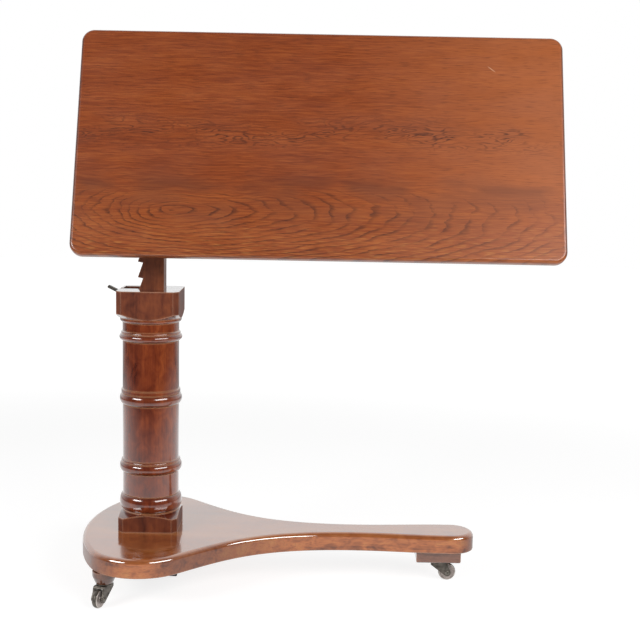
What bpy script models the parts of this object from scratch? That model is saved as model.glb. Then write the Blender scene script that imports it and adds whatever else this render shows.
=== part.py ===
"""Tilt-top reading table on a ratchet pillar.

Metres, +Z up. The origin lies on the floor under the middle of the top's
length, on the axis of the pillar from front to back. The reader sits at -Y.
Sub-assemblies hang on empties: the stand on the pillar's axis at the top of
the platform, the tilting top on its hinge axis, each castor on its swivel.
"""
import math

import bmesh
import bpy
from mathutils import Matrix, Vector

MM = 0.001
# Clearance between pieces that touch, and how far a cutting tool reaches past what it cuts
GAP = 0.3 * MM
OVER = 5 * MM

# Top
TOP_LENGTH = 770 * MM
TOP_DEPTH = 374 * MM
TOP_THICK = 20 * MM
TOP_LEFT = 112 * MM
TOP_CORNER = 20 * MM
TOP_EDGE_ROUND = 6 * MM
TILT_STEP_DEG = 11.7
TILT_STEPS = 6

# Platform
BASE_THICK = 30 * MM
BASE_LEFT = 109 * MM
BASE_RIGHT = 541 * MM
BASE_HALF_DEPTH = 186 * MM
BASE_LEFT_RADIUS = 309 * MM
BASE_WAIST_X = 340 * MM
BASE_WAIST_HALF = 28 * MM
BASE_END_RADIUS = 37 * MM
BASE_SWEEP_OUT = 100 * MM
BASE_SWEEP_IN = 160 * MM
BASE_ROUND = 8 * MM
BLOCK_THICK = 20 * MM
BATTEN_HALF_X = 57 * MM
BATTEN_END_GAP = 12 * MM
PAD_X = -53 * MM
PAD_EDGE_INSET = 42 * MM
PAD_TOP_RADIUS = 19 * MM
PAD_FOOT_RADIUS = 14 * MM
ARM_BLOCK_X = 482 * MM
ARM_BLOCK_LENGTH = 74 * MM
ARM_BLOCK_WIDTH = 52 * MM

# Castors
CASTOR_HEIGHT = 36 * MM
CASTOR_TRAIL = 17 * MM
FRONT_HEADING_DEG = 248
REAR_HEADING_DEG = 215
ARM_HEADING_DEG = 0
WHEEL_RADIUS = 14.5 * MM
WHEEL_WIDTH = 10 * MM
HUB_WALL = 2.5 * MM
DISH_DEPTH = 1 * MM
TYRE_BAND = 3 * MM
AXLE_RADIUS = 2.3 * MM
CHEEK_THICK = 3 * MM
CHEEK_SIDE_GAP = 2 * MM
CHEEK_END_RADIUS = 6 * MM
CROWN_THICK = 3 * MM
CROWN_BACK = 11 * MM
SOCKET_FLANGE_RADIUS = 13 * MM
SOCKET_FLANGE_THICK = 2 * MM
SOCKET_STEM_RADIUS = 4.5 * MM
SOCKET_STEM_LENGTH = 26 * MM
SWIVEL_RADIUS = 3 * MM
SWIVEL_HEAD_RADIUS = 5 * MM
SWIVEL_HEAD_THICK = 1.7 * MM

# Pillar
PILLAR_HEIGHT = 398.4 * MM
COLLAR_HALF = 50.5 * MM
PLINTH_HALF = 48.5 * MM
CORNER_CHAMFER = 8.5 * MM
COLLAR_ARRIS = 2 * MM
SHAFT_RADIUS = 46.2 * MM
BEAD_RADIUS = 51 * MM
FOOT_BEAD_RADIUS = 51.6 * MM
FILLET_RADIUS = 48.6 * MM
BILLET_RADIUS = 66 * MM
PLINTH_CORNER_H = 22 * MM
PLINTH_BAND_RADIUS = 49.2 * MM
PLINTH_BAND_HEIGHT = 6 * MM
PLINTH_TOP_H = 31 * MM
FOOT_BEAD_H = 45.5 * MM
FOOT_BEAD_HALF = 13 * MM
LOW_BEAD_H = 106.3 * MM
MID_BEAD_H = 218 * MM
MID_FILLET_H = 232.7 * MM
BEAD_HALF = 8 * MM
HIGH_BEAD_DROP = 77 * MM
COLLAR_FOOT_DROP = 53.4 * MM
COLLAR_CORNER_DROP = 34.4 * MM
COLLAR_BAND_RADIUS = 51 * MM
COLLAR_BAND_ROUND = 3 * MM
PILLAR_SCREW_OFFSET = 33 * MM
PILLAR_SCREW_RADIUS = 3 * MM
PILLAR_SCREW_GRIP = 20 * MM

# Post and its ratchet
POST_RIGHT = 23.3 * MM
POST_ROOT = -11 * MM
TOOTH_DEPTH = 8 * MM
TOOTH_PITCH = 25.4 * MM
TOOTH_UNDERCUT = 1.5 * MM
TOOTH_LAND = 1 * MM
TOOTH_BELOW_COLLAR = 5.7 * MM
POST_HALF_DEPTH = 16 * MM
POST_FIT = 0.4 * MM
POST_FOOT_H = 85 * MM
STEPS_UP = 9
STEPS_DOWN = 3

# Sliding height catch, in the collar
CATCH_WIDTH = 9 * MM
CATCH_FIT = 0.5 * MM
CATCH_THICK = 7.25 * MM
CATCH_NOSE_DEPTH = 7 * MM
CATCH_NOSE_SET = 1 * MM
CATCH_TRAVEL = 9 * MM
CATCH_TAIL_REACH = 18.5 * MM
CATCH_TAIL_RISE = 8.75 * MM
CATCH_TAIL_THICK = 4.5 * MM
CATCH_TAIL_SLOPE_DEG = 26
CATCH_LUG_X = -33 * MM
CATCH_LUG_THICK = 4 * MM
CATCH_LUG_DEPTH = 12 * MM
CATCH_PIN_X = -38 * MM
CATCH_PIN_RADIUS = 1.5 * MM
CATCH_PIN_FRONT = 20 * MM
POCKET_WALL = 4.5 * MM
POCKET_CLEARANCE = 1 * MM
WELL_BACK = 32 * MM
CATCH_SPRING_RADIUS = 2.8 * MM
CATCH_SPRING_WIRE = 0.8 * MM
CATCH_SPRING_TURNS = 4

# Hinge of the top
PIVOT_H = 620 * MM
PIVOT_DROP = 33 * MM
ROD_RADIUS = 6 * MM
ROD_HEAD_RADIUS = 10 * MM
ROD_HEAD_THICK = 5 * MM
WASHER_RADIUS = 11 * MM
WASHER_THICK = 2 * MM
NUT_ACROSS = 19 * MM
NUT_THICK = 8 * MM
HEAD_LEFT = -38 * MM
HEAD_RIGHT = 42 * MM
HEAD_FRONT = 30 * MM
HEAD_BACK = 38 * MM
HEAD_FOOT = 65 * MM
TENON_HALF_DEPTH = 12 * MM
TENON_TOP = 16 * MM
TENON_SHOULDER = 2 * MM
DOWEL_DROP = 54 * MM
DOWEL_RADIUS = 4 * MM
BEARER_THICK = 22 * MM
BEARER_END_INSET = 37 * MM
BEARER_MIDDLE_HALF = 60 * MM
BEARER_DROP = 24 * MM
BEARER_END_THICK = 18 * MM
BEARER_FLAT_LENGTH = 34 * MM
BEARER_SWEEP = 18 * MM
BEARER_STEP = 8 * MM
BEARER_SIDE_GAP = 0.5 * MM
END_BATTEN_INSET = 50 * MM
END_BATTEN_WIDTH = 30 * MM
SCREW_RADIUS = 2.2 * MM
SCREW_HEAD_RADIUS = 4.2 * MM
SCREW_HEAD_THICK = 2.5 * MM
SCREW_IN_TOP = 11 * MM
BEARER_SCREW_INSET = 22 * MM

# Tilt lock
BOLT_Y = 25 * MM
BOLT_DROP = 36 * MM
BOLT_RADIUS = 4 * MM
BOLT_NOSE_RADIUS = 3.2 * MM
BOLT_FLANGE_RADIUS = 7 * MM
BOLT_FLANGE_THICK = 3 * MM
BOLT_WELL = 30 * MM
KNOB_RADIUS = 8.5 * MM
KNOB_LENGTH = 16 * MM
PLATE_THICK = 2 * MM
PLATE_HALF_Y = 11.5 * MM
PLATE_HALF_Z = 13 * MM
PLATE_SCREW_OFFSET = 10 * MM
PLATE_SCREW_RADIUS = 1.2 * MM
PLATE_SCREW_LENGTH = 10 * MM
QUADRANT_GAP = 1.5 * MM
QUADRANT_THICK = 4 * MM
QUADRANT_RIM = 8 * MM
QUADRANT_CHORD = 9 * MM
QUADRANT_SCREW_Y = 36 * MM
QUADRANT_SCREW_DROP = 16.5 * MM
QUADRANT_SCREW_LENGTH = 16 * MM
BOLT_SPRING_RADIUS = 5.6 * MM
BOLT_SPRING_WIRE = 1.2 * MM
BOLT_SPRING_TURNS = 6

# Places that follow from the sizes
COLUMN_X = TOP_LEFT - TOP_LENGTH / 2
BASE_TOP_Z = CASTOR_HEIGHT + BLOCK_THICK + BASE_THICK
PAD_Y = BASE_HALF_DEPTH - PAD_EDGE_INSET
BATTEN_HALF_Y = PAD_Y - PAD_TOP_RADIUS - BATTEN_END_GAP
TILT = math.radians(TILT_STEP_DEG * TILT_STEPS)
POST_TIP = POST_ROOT - TOOTH_DEPTH
TOOTH_H = PILLAR_HEIGHT - TOOTH_BELOW_COLLAR
HIGH_BEAD_H = PILLAR_HEIGHT - HIGH_BEAD_DROP
COLLAR_FOOT_H = PILLAR_HEIGHT - COLLAR_FOOT_DROP
COLLAR_CORNER_H = PILLAR_HEIGHT - COLLAR_CORNER_DROP
CATCH_TOP_H = TOOTH_H - 1.5 * GAP
CATCH_FLOOR_H = CATCH_TOP_H - CATCH_THICK
CATCH_PIN_H = CATCH_TOP_H - CATCH_THICK / 2
CATCH_TAIL_X = -COLLAR_HALF - CATCH_TAIL_REACH
CATCH_TAIL_H = CATCH_TOP_H + CATCH_TAIL_RISE
CATCH_LUG_FOOT_H = CATCH_FLOOR_H - CATCH_LUG_DEPTH
POCKET_LEFT = -COLLAR_HALF + POCKET_WALL
POCKET_FLOOR_H = CATCH_LUG_FOOT_H - POCKET_CLEARANCE
CROWN_H = PIVOT_H - HEAD_FOOT - GAP
POST_MIDDLE = (POST_ROOT + POST_RIGHT) / 2
QUADRANT_X = HEAD_RIGHT + QUADRANT_GAP
BEARER_RIGHT_X = QUADRANT_X + QUADRANT_THICK + GAP
BEARER_LEFT_X = HEAD_LEFT - BEARER_SIDE_GAP - BEARER_THICK
BOLT_REACH = math.hypot(BOLT_Y, BOLT_DROP)
BOLT_ANGLE = math.atan2(-BOLT_DROP, BOLT_Y)
UNDERSIDE = PIVOT_DROP - GAP
BEARER_HALF_LENGTH = TOP_DEPTH / 2 - BEARER_END_INSET
BEARER_SCREW_Y = BEARER_HALF_LENGTH - BEARER_SCREW_INSET

ROUND_COARSE = 12
ROUND_MEDIUM = 20
ROUND_FINE = 40

MAHOGANY = (0.16, 0.036, 0.014)
TOP_MAHOGANY = (0.30, 0.075, 0.024)
DARK_BOARD = (0.05, 0.02, 0.012)
IRON = (0.045, 0.045, 0.042)
STEEL = (0.20, 0.19, 0.18)
BRASS = (0.55, 0.37, 0.12)


def clear_scene():
    for thing in list(bpy.data.objects):
        bpy.data.objects.remove(thing, do_unlink=True)


def finish(name, colour, roughness, metallic):
    made = bpy.data.materials.new(name)
    made.use_nodes = True
    shader = made.node_tree.nodes["Principled BSDF"]
    shader.inputs["Base Color"].default_value = (*colour, 1.0)
    shader.inputs["Roughness"].default_value = roughness
    shader.inputs["Metallic"].default_value = metallic
    return made


def wood(name, colour=MAHOGANY):
    return finish(name + "_polish", colour, 0.3, 0.0)


def metal(name, colour=IRON, roughness=0.5):
    return finish(name + "_metal", colour, roughness, 1.0)


def axis_empty(name, location, turn=(0, 0, 0)):
    made = bpy.data.objects.new(name, None)
    made.location = location
    made.rotation_euler = turn
    bpy.context.scene.collection.objects.link(made)
    return made


def piece(name, bm, parent, material=None, location=(0, 0, 0)):
    """Turn a bmesh into a named object on its parent empty."""
    bmesh.ops.recalc_face_normals(bm, faces=bm.faces)
    mesh = bpy.data.meshes.new(name)
    bm.to_mesh(mesh)
    bm.free()
    mesh.shade_smooth()
    mesh.set_sharp_from_angle(angle=math.radians(35))
    made = bpy.data.objects.new(name, mesh)
    made.parent = parent
    made.location = location
    if material:
        mesh.materials.append(material)
    bpy.context.scene.collection.objects.link(made)
    return made


def trim(target, bm, name, operation="DIFFERENCE", location=(0, 0, 0)):
    """Cut a target with a hidden tool that sits on the same parent."""
    tool = piece(target.name + "_" + name, bm, target.parent, None, location)
    tool.hide_render = True
    tool.display_type = "WIRE"
    change = target.modifiers.new(name, "BOOLEAN")
    change.operation = operation
    change.solver = "EXACT"
    change.object = tool


def merged(*parts):
    """Put several closed bodies into one bmesh."""
    whole = bmesh.new()
    for part in parts:
        mesh = bpy.data.meshes.new("join")
        part.to_mesh(mesh)
        part.free()
        whole.from_mesh(mesh)
        bpy.data.meshes.remove(mesh)
    return whole


def prism(outline, axis, start, end):
    """Extrude an outline along X, Y or Z. It lists the other two coordinates in X, Y, Z order."""
    bm = bmesh.new()
    index = "XYZ".index(axis)
    corners = []
    for pair in outline:
        point = list(pair)
        point.insert(index, start)
        corners.append(bm.verts.new(point))
    face = bm.faces.new(corners)
    grown = bmesh.ops.extrude_face_region(bm, geom=[face])
    moved = [item for item in grown["geom"] if isinstance(item, bmesh.types.BMVert)]
    step = Vector((0, 0, 0))
    step[index] = end - start
    bmesh.ops.translate(bm, verts=moved, vec=step)
    return bm


def box(low, high):
    corners = [(low[0], low[1]), (high[0], low[1]), (high[0], high[1]), (low[0], high[1])]
    return prism(corners, "Z", low[2], high[2])


def arc(centre, radius, start, end, steps):
    """Points on an arc between two angles, in radians, both ends included."""
    angles = [start + (end - start) * i / steps for i in range(steps + 1)]
    return [(centre[0] + radius * math.cos(a), centre[1] + radius * math.sin(a)) for a in angles]


def circle(centre, radius, steps):
    return arc(centre, radius, 0, math.tau * (steps - 1) / steps, steps - 1)


def rod(axis, centre, radius, start, end, steps=ROUND_COARSE):
    return prism(circle(centre, radius, steps), axis, start, end)


def lathe(profile, steps, place=Matrix(), ring=False):
    """Spin a profile of (radius, height) about Z, then place it. A ring's profile closes on itself."""
    bm = bmesh.new()
    points = [bm.verts.new((radius, 0, height)) for radius, height in profile]
    pairs = list(zip(points, points[1:]))
    if ring:
        pairs.append((points[-1], points[0]))
    edges = [bm.edges.new(pair) for pair in pairs]
    bmesh.ops.spin(bm, geom=points + edges, axis=(0, 0, 1), cent=(0, 0, 0), steps=steps, angle=math.tau,
                   use_merge=True, use_duplicate=False)
    bmesh.ops.remove_doubles(bm, verts=bm.verts, dist=1e-6)
    bmesh.ops.transform(bm, matrix=place, verts=bm.verts)
    return bm


def along(axis, position, flip=False):
    """The placing matrix that turns a lathe's +Z to an axis, at a position."""
    turns = {"X": Matrix.Rotation(math.pi / 2, 4, "Y"), "Y": Matrix.Rotation(-math.pi / 2, 4, "X"),
             "Z": Matrix()}
    back = Matrix.Rotation(math.pi, 4, "X") if flip else Matrix()
    return Matrix.Translation(position) @ turns[axis] @ back


def soften(bm, test, width, steps):
    """Bevel the edges that a test picks out."""
    edges = [edge for edge in bm.edges if test(edge)]
    bmesh.ops.bevel(bm, geom=edges, offset=width, segments=steps, profile=0.5, affect="EDGES",
                    clamp_overlap=True)
    return bm


def at_height(height):
    return lambda edge: all(abs(vert.co.z - height) < 1e-6 for vert in edge.verts)


def screw(radius, length, head_radius, head_thick, place, room=0.0):
    """A screw whose head lies at z = 0 and whose shank runs up, or with room the hole for it."""
    top = length + room
    foot = -OVER if room else 0.0
    profile = [(0, foot), (head_radius + room, foot), (head_radius + room, head_thick + room),
               (radius + room, head_thick + room), (radius + room, top), (0, top)]
    return lathe(profile, ROUND_COARSE, place)


def fasteners(name, bodies, parent, colour):
    """Number a set of like screws, each its own object."""
    for number, body in enumerate(bodies, 1):
        label = name + "_" + str(number)
        piece(label, body, parent, metal(label, colour))


def coil(name, parent, material, location, turn, radius, wire, turns, length):
    """A compression spring along its own Z, from 0 to length, as one unbroken wire."""
    per_turn = 8
    count = per_turn * turns
    rise = (length - wire) / count
    points = []
    for i in range(count + 1):
        angle = math.tau * i / per_turn
        points.append(Vector((radius * math.cos(angle), radius * math.sin(angle), wire / 2 + rise * i)))
    far = [(a - b).length for i, a in enumerate(points) for b in points[i + per_turn // 2:]]
    print(name, "least gap of the wire to itself, mm:", round((min(far) - wire) / MM, 2))
    curve = bpy.data.curves.new(name, "CURVE")
    curve.dimensions = "3D"
    curve.bevel_depth = wire / 2
    curve.bevel_resolution = 1
    curve.use_fill_caps = True
    line = curve.splines.new("POLY")
    line.points.add(count)
    for point, place in zip(line.points, points):
        point.co = (*place, 1.0)
    curve.materials.append(material)
    made = bpy.data.objects.new(name, curve)
    made.parent = parent
    made.location = location
    made.rotation_euler = turn
    bpy.context.scene.collection.objects.link(made)
    return made


def base_outline():
    """The pear outline about the pillar's axis: its back half from left to right, then the mirror."""
    left_x = BASE_LEFT_RADIUS - BASE_LEFT
    spare = BASE_LEFT_RADIUS**2 - left_x**2 - BASE_HALF_DEPTH**2
    shoulder = spare / (2 * (BASE_LEFT_RADIUS - BASE_HALF_DEPTH))
    shoulder_y = BASE_HALF_DEPTH - shoulder
    meet = math.atan2(shoulder_y, -left_x)
    points = arc((left_x, 0), BASE_LEFT_RADIUS, math.pi, meet, 8)
    points += arc((0, shoulder_y), shoulder, meet, math.pi / 4, 9)[1:]
    start = Vector(points[-1])
    ends = [start, start + Vector((1, -1)).normalized() * BASE_SWEEP_OUT,
            Vector((BASE_WAIST_X - BASE_SWEEP_IN, BASE_WAIST_HALF)), Vector((BASE_WAIST_X, BASE_WAIST_HALF))]
    for i in range(1, 13):
        t = i / 12
        s = 1 - t
        spot = ends[0] * s**3 + ends[1] * 3 * s**2 * t + ends[2] * 3 * s * t**2 + ends[3] * t**3
        points.append((spot.x, spot.y))
    end_x = BASE_RIGHT - BASE_END_RADIUS
    for i in range(1, 6):
        share = i / 6
        swell = (1 - math.cos(math.pi * share)) / 2
        points.append((BASE_WAIST_X + (end_x - BASE_WAIST_X) * share,
                       BASE_WAIST_HALF + (BASE_END_RADIUS - BASE_WAIST_HALF) * swell))
    points += arc((end_x, 0), BASE_END_RADIUS, math.pi / 2, 0, 7)
    return points + [(x, -y) for x, y in points[-2:0:-1]]


def castor_places():
    """Name, swivel place about the pillar's axis and heading of the trail, for each castor."""
    return [("front", (PAD_X, -PAD_Y), math.radians(FRONT_HEADING_DEG)),
            ("rear", (PAD_X, PAD_Y), math.radians(REAR_HEADING_DEG)),
            ("arm", (ARM_BLOCK_X, 0), math.radians(ARM_HEADING_DEG))]


def pillar_screw_places():
    return [(x, y) for x in (-PILLAR_SCREW_OFFSET, PILLAR_SCREW_OFFSET)
            for y in (-PILLAR_SCREW_OFFSET, PILLAR_SCREW_OFFSET)]


def pillar_screw_set(room=0.0):
    head_h = -BASE_THICK - BLOCK_THICK + 4 * MM
    length = -head_h + PILLAR_SCREW_GRIP
    return [screw(PILLAR_SCREW_RADIUS, length, 5.5 * MM, 3 * MM, along("Z", (x, y, head_h)), room)
            for x, y in pillar_screw_places()]


def socket_holes():
    depth = SOCKET_STEM_LENGTH + GAP - BLOCK_THICK
    low = -BASE_THICK - BLOCK_THICK - OVER
    holes = [rod("Z", place, SOCKET_STEM_RADIUS + GAP, low, -BASE_THICK + depth)
             for _, place, _ in castor_places()]
    return merged(*holes)


def build_base(stand):
    board = prism(base_outline(), "Z", -BASE_THICK, 0)
    soften(board, at_height(0), BASE_ROUND, 3)
    soften(board, at_height(-BASE_THICK), 2 * MM, 1)
    base = piece("base_board", board, stand, wood("base_board"))
    trim(base, merged(*pillar_screw_set(GAP)), "pillar_screw_holes")
    trim(base, socket_holes(), "castor_holes")

    low = -BASE_THICK - BLOCK_THICK
    high = -BASE_THICK - GAP
    slab = box((-BATTEN_HALF_X, -BATTEN_HALF_Y, low), (BATTEN_HALF_X, BATTEN_HALF_Y, high))
    soften(slab, at_height(low), 2 * MM, 1)
    batten = piece("base_batten", slab, stand, wood("base_batten", DARK_BOARD))
    trim(batten, merged(*pillar_screw_set(GAP)), "pillar_screw_holes")
    fasteners("pillar_screw", pillar_screw_set(), stand, STEEL)

    for name, place, _ in castor_places():
        if name == "arm":
            half_x = ARM_BLOCK_LENGTH / 2
            half_y = ARM_BLOCK_WIDTH / 2
            block = box((place[0] - half_x, -half_y, low), (place[0] + half_x, half_y, high))
            soften(block, at_height(low), 4 * MM, 2)
        else:
            rim_h = low * 0.4 + high * 0.6
            cone = [(0, low), (PAD_FOOT_RADIUS, low), (PAD_TOP_RADIUS, rim_h), (PAD_TOP_RADIUS, high),
                    (0, high)]
            block = lathe(cone, ROUND_MEDIUM, along("Z", (*place, 0)))
        made = piece("castor_block_" + name, block, stand, wood("castor_block_" + name))
        hole = rod("Z", place, SOCKET_STEM_RADIUS + GAP, low - OVER, high + OVER)
        trim(made, hole, "stem_hole")


def build_castor(name, place, heading):
    """A stem castor about its own swivel: X is the trail, Z rises from the floor."""
    swivel = axis_empty("castor_swivel_" + name, (COLUMN_X + place[0], place[1], 0), (0, 0, heading))
    flange_top = CASTOR_HEIGHT - GAP
    flange_foot = flange_top - SOCKET_FLANGE_THICK
    crown_top = flange_foot - GAP
    crown_foot = crown_top - CROWN_THICK
    head_top = crown_foot - GAP
    head_foot = head_top - SWIVEL_HEAD_THICK
    stem_top = CASTOR_HEIGHT + SOCKET_STEM_LENGTH - GAP
    stem = [(0, head_foot), (SWIVEL_HEAD_RADIUS, head_foot), (SWIVEL_HEAD_RADIUS, head_top),
            (SWIVEL_RADIUS, head_top), (SWIVEL_RADIUS, flange_foot),
            (SOCKET_FLANGE_RADIUS, flange_foot), (SOCKET_FLANGE_RADIUS, flange_top),
            (SOCKET_STEM_RADIUS, flange_top), (SOCKET_STEM_RADIUS, stem_top), (0, stem_top)]
    piece("castor_socket_" + name, lathe(stem, ROUND_COARSE), swivel, metal("castor_socket_" + name))

    inner = WHEEL_WIDTH / 2 + CHEEK_SIDE_GAP
    outer = inner + CHEEK_THICK
    hub = (CASTOR_TRAIL, WHEEL_RADIUS)
    low = WHEEL_RADIUS - CHEEK_END_RADIUS - OVER
    channel = [(-outer, crown_top), (-outer, low), (-inner, low), (-inner, crown_foot),
               (inner, crown_foot), (inner, low), (outer, low), (outer, crown_top)]
    bar = prism(channel, "X", -CROWN_BACK - OVER, CASTOR_TRAIL + CHEEK_END_RADIUS + OVER)
    horn = piece("castor_horn_" + name, bar, swivel, metal("castor_horn_" + name))
    side = [(-CROWN_BACK, crown_top + OVER), (-CROWN_BACK, crown_foot - 1 * MM)]
    side += arc(hub, CHEEK_END_RADIUS, math.radians(230), math.radians(380), 6)
    side += [(CASTOR_TRAIL, crown_top - 2 * MM), (CASTOR_TRAIL - 2 * MM, crown_top + OVER)]
    trim(horn, prism(side, "Y", -outer - OVER, outer + OVER), "side_outline", "INTERSECT")
    trim(horn, rod("Z", (0, 0), SWIVEL_RADIUS + GAP, crown_foot - OVER, crown_top + OVER), "swivel_hole")
    trim(horn, rod("Y", hub, AXLE_RADIUS + GAP, -outer - OVER, outer + OVER), "axle_hole")

    half = WHEEL_WIDTH / 2
    bore = AXLE_RADIUS + GAP
    hub_edge = bore + HUB_WALL
    web = -half + DISH_DEPTH
    dish = [(bore, half), (bore, -half), (hub_edge, -half), (hub_edge + DISH_DEPTH / 2, web),
            (WHEEL_RADIUS - TYRE_BAND, web), (WHEEL_RADIUS - DISH_DEPTH, web + DISH_DEPTH / 5),
            (WHEEL_RADIUS, 0)]
    tyre = dish + [(radius, -height) for radius, height in dish[-2:1:-1]]
    piece("castor_wheel_" + name, lathe(tyre, ROUND_MEDIUM, along("Y", (0, 0, 0)), ring=True), swivel,
          metal("castor_wheel_" + name, (0.09, 0.075, 0.06)), (hub[0], 0, hub[1]))

    cap = outer + GAP
    cap_end = cap + 1.5 * MM
    rivet = AXLE_RADIUS + 1.2 * MM
    dome = AXLE_RADIUS + 0.6 * MM
    pin = [(0, -cap_end), (dome, -cap_end), (rivet, -cap), (AXLE_RADIUS, -cap),
           (AXLE_RADIUS, cap), (rivet, cap), (dome, cap_end), (0, cap_end)]
    piece("castor_axle_" + name, lathe(pin, ROUND_COARSE, along("Y", (0, 0, 0))), swivel,
          metal("castor_axle_" + name, STEEL), (hub[0], 0, hub[1]))


def bead(height, half, radius, steps=6):
    """Half-round moulding around the shaft, as profile points from its foot up."""
    swell = radius - SHAFT_RADIUS
    turns = [math.pi * i / steps for i in range(steps + 1)]
    return [(SHAFT_RADIUS + swell * math.sin(a), height - half * math.cos(a)) for a in turns]


def reeded_bead(height):
    """Two reeds around the shaft, the lower one fuller, as profile points from the foot up."""
    swell = BEAD_RADIUS - SHAFT_RADIUS
    shape = [(0, -1), (0.84, -0.8), (1, -0.42), (0.64, 0.02), (0.9, 0.4), (0.6, 0.82), (0, 1)]
    return [(SHAFT_RADIUS + swell * out, height + BEAD_HALF * up) for out, up in shape]


def pillar_profile():
    """Plinth, shaft and collar as they were turned, before the two squares are cut from the billet."""
    over = PILLAR_HEIGHT + OVER
    band_h = PLINTH_CORNER_H + PLINTH_BAND_HEIGHT
    points = [(0, 0), (BILLET_RADIUS, 0), (BILLET_RADIUS, PLINTH_CORNER_H),
              (PLINTH_BAND_RADIUS, PLINTH_CORNER_H), (PLINTH_BAND_RADIUS, band_h),
              (SHAFT_RADIUS, PLINTH_TOP_H)]
    points += bead(FOOT_BEAD_H, FOOT_BEAD_HALF, FOOT_BEAD_RADIUS)
    points += reeded_bead(LOW_BEAD_H) + reeded_bead(MID_BEAD_H)
    points += [(FILLET_RADIUS, MID_BEAD_H + BEAD_HALF + 0.5 * MM), (FILLET_RADIUS, MID_FILLET_H),
               (SHAFT_RADIUS, MID_FILLET_H + 1 * MM)]
    points += reeded_bead(HIGH_BEAD_H)
    points += [(SHAFT_RADIUS, COLLAR_FOOT_H), (COLLAR_BAND_RADIUS - COLLAR_BAND_ROUND / 2, COLLAR_FOOT_H),
               (COLLAR_BAND_RADIUS, COLLAR_FOOT_H + COLLAR_BAND_ROUND),
               (COLLAR_BAND_RADIUS, COLLAR_CORNER_H - COLLAR_BAND_ROUND),
               (BILLET_RADIUS, COLLAR_CORNER_H)]
    return points + [(BILLET_RADIUS, over), (0, over)]


def chamfered_square(half):
    corner = half - CORNER_CHAMFER
    return [(half, -corner), (half, corner), (corner, half), (-corner, half),
            (-half, corner), (-half, -corner), (-corner, -half), (corner, -half)]


def loft(rings):
    """Join outlines of equal length, each at its height, into one closed body."""
    bm = bmesh.new()
    loops = [[bm.verts.new((x, y, height)) for x, y in outline] for outline, height in rings]
    for low, high in zip(loops, loops[1:]):
        for i in range(len(low)):
            j = (i + 1) % len(low)
            bm.faces.new((low[i], low[j], high[j], high[i]))
    bm.faces.new(loops[0][::-1])
    bm.faces.new(loops[-1])
    return bm


def build_pillar(stand):
    pillar = piece("pillar", lathe(pillar_profile(), ROUND_FINE), stand, wood("pillar"))
    wide = chamfered_square(BILLET_RADIUS)
    foot_h = PLINTH_TOP_H + 0.5 * MM
    neck_h = COLLAR_FOOT_H - 0.5 * MM
    plinth = chamfered_square(PLINTH_HALF)
    collar = chamfered_square(COLLAR_HALF)
    lip = chamfered_square(COLLAR_HALF - COLLAR_ARRIS)
    billet = loft([(plinth, -OVER), (plinth, foot_h), (wide, foot_h), (wide, neck_h), (collar, neck_h),
                   (collar, PILLAR_HEIGHT - COLLAR_ARRIS), (lip, PILLAR_HEIGHT)])
    trim(pillar, billet, "billet", "INTERSECT")
    mortise = box((POST_TIP - POST_FIT, -POST_HALF_DEPTH - POST_FIT, -OVER),
                  (POST_RIGHT + POST_FIT, POST_HALF_DEPTH + POST_FIT, PILLAR_HEIGHT + OVER))
    trim(pillar, mortise, "mortise")
    half = CATCH_WIDTH / 2 + CATCH_FIT
    slot = box((-COLLAR_HALF - OVER, -half, CATCH_FLOOR_H - GAP), (POST_ROOT, half, PILLAR_HEIGHT + OVER))
    trim(pillar, slot, "catch_slot")
    well = box((POCKET_LEFT, 0, CATCH_FLOOR_H - GAP), (POST_TIP, WELL_BACK, PILLAR_HEIGHT + OVER))
    trim(pillar, well, "catch_well")
    pocket_right = CATCH_LUG_X + CATCH_LUG_THICK + CATCH_FIT
    pocket = box((POCKET_LEFT, -half, POCKET_FLOOR_H), (pocket_right, half, CATCH_FLOOR_H + CATCH_THICK / 2))
    trim(pillar, pocket, "spring_pocket")
    hole = rod("Y", (CATCH_PIN_X, CATCH_PIN_H), CATCH_PIN_RADIUS + GAP, -CATCH_PIN_FRONT - GAP,
               COLLAR_HALF + OVER)
    trim(pillar, hole, "pin_hole")
    trim(pillar, merged(*pillar_screw_set(GAP)), "screw_holes")


def catch_outline():
    """The catch in X and Z: nose under a tooth, lug below for the spring, finger end bent up."""
    slope = math.radians(CATCH_TAIL_SLOPE_DEG)
    side = Vector((math.sin(slope), math.cos(slope))) * CATCH_TAIL_THICK / 2
    tail = Vector((CATCH_TAIL_X, CATCH_TAIL_H))
    nose_x = POST_ROOT - CATCH_NOSE_SET
    nose_h = CATCH_TOP_H - TOOTH_UNDERCUT * CATCH_NOSE_DEPTH / TOOTH_DEPTH
    upper = tail + side
    lower = tail - side
    upper_bend = upper.x + (upper.y - CATCH_TOP_H) / math.tan(slope)
    lower_bend = lower.x + (lower.y - CATCH_FLOOR_H) / math.tan(slope)
    lug_end = CATCH_LUG_X + CATCH_LUG_THICK
    return [(nose_x, nose_h), (nose_x - CATCH_NOSE_DEPTH, CATCH_TOP_H), (upper_bend, CATCH_TOP_H),
            tuple(upper), tuple(lower), (lower_bend, CATCH_FLOOR_H), (CATCH_LUG_X, CATCH_FLOOR_H),
            (CATCH_LUG_X, CATCH_LUG_FOOT_H), (lug_end, CATCH_LUG_FOOT_H), (lug_end, CATCH_FLOOR_H),
            (nose_x - CATCH_NOSE_DEPTH / 2, CATCH_FLOOR_H)]


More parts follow.
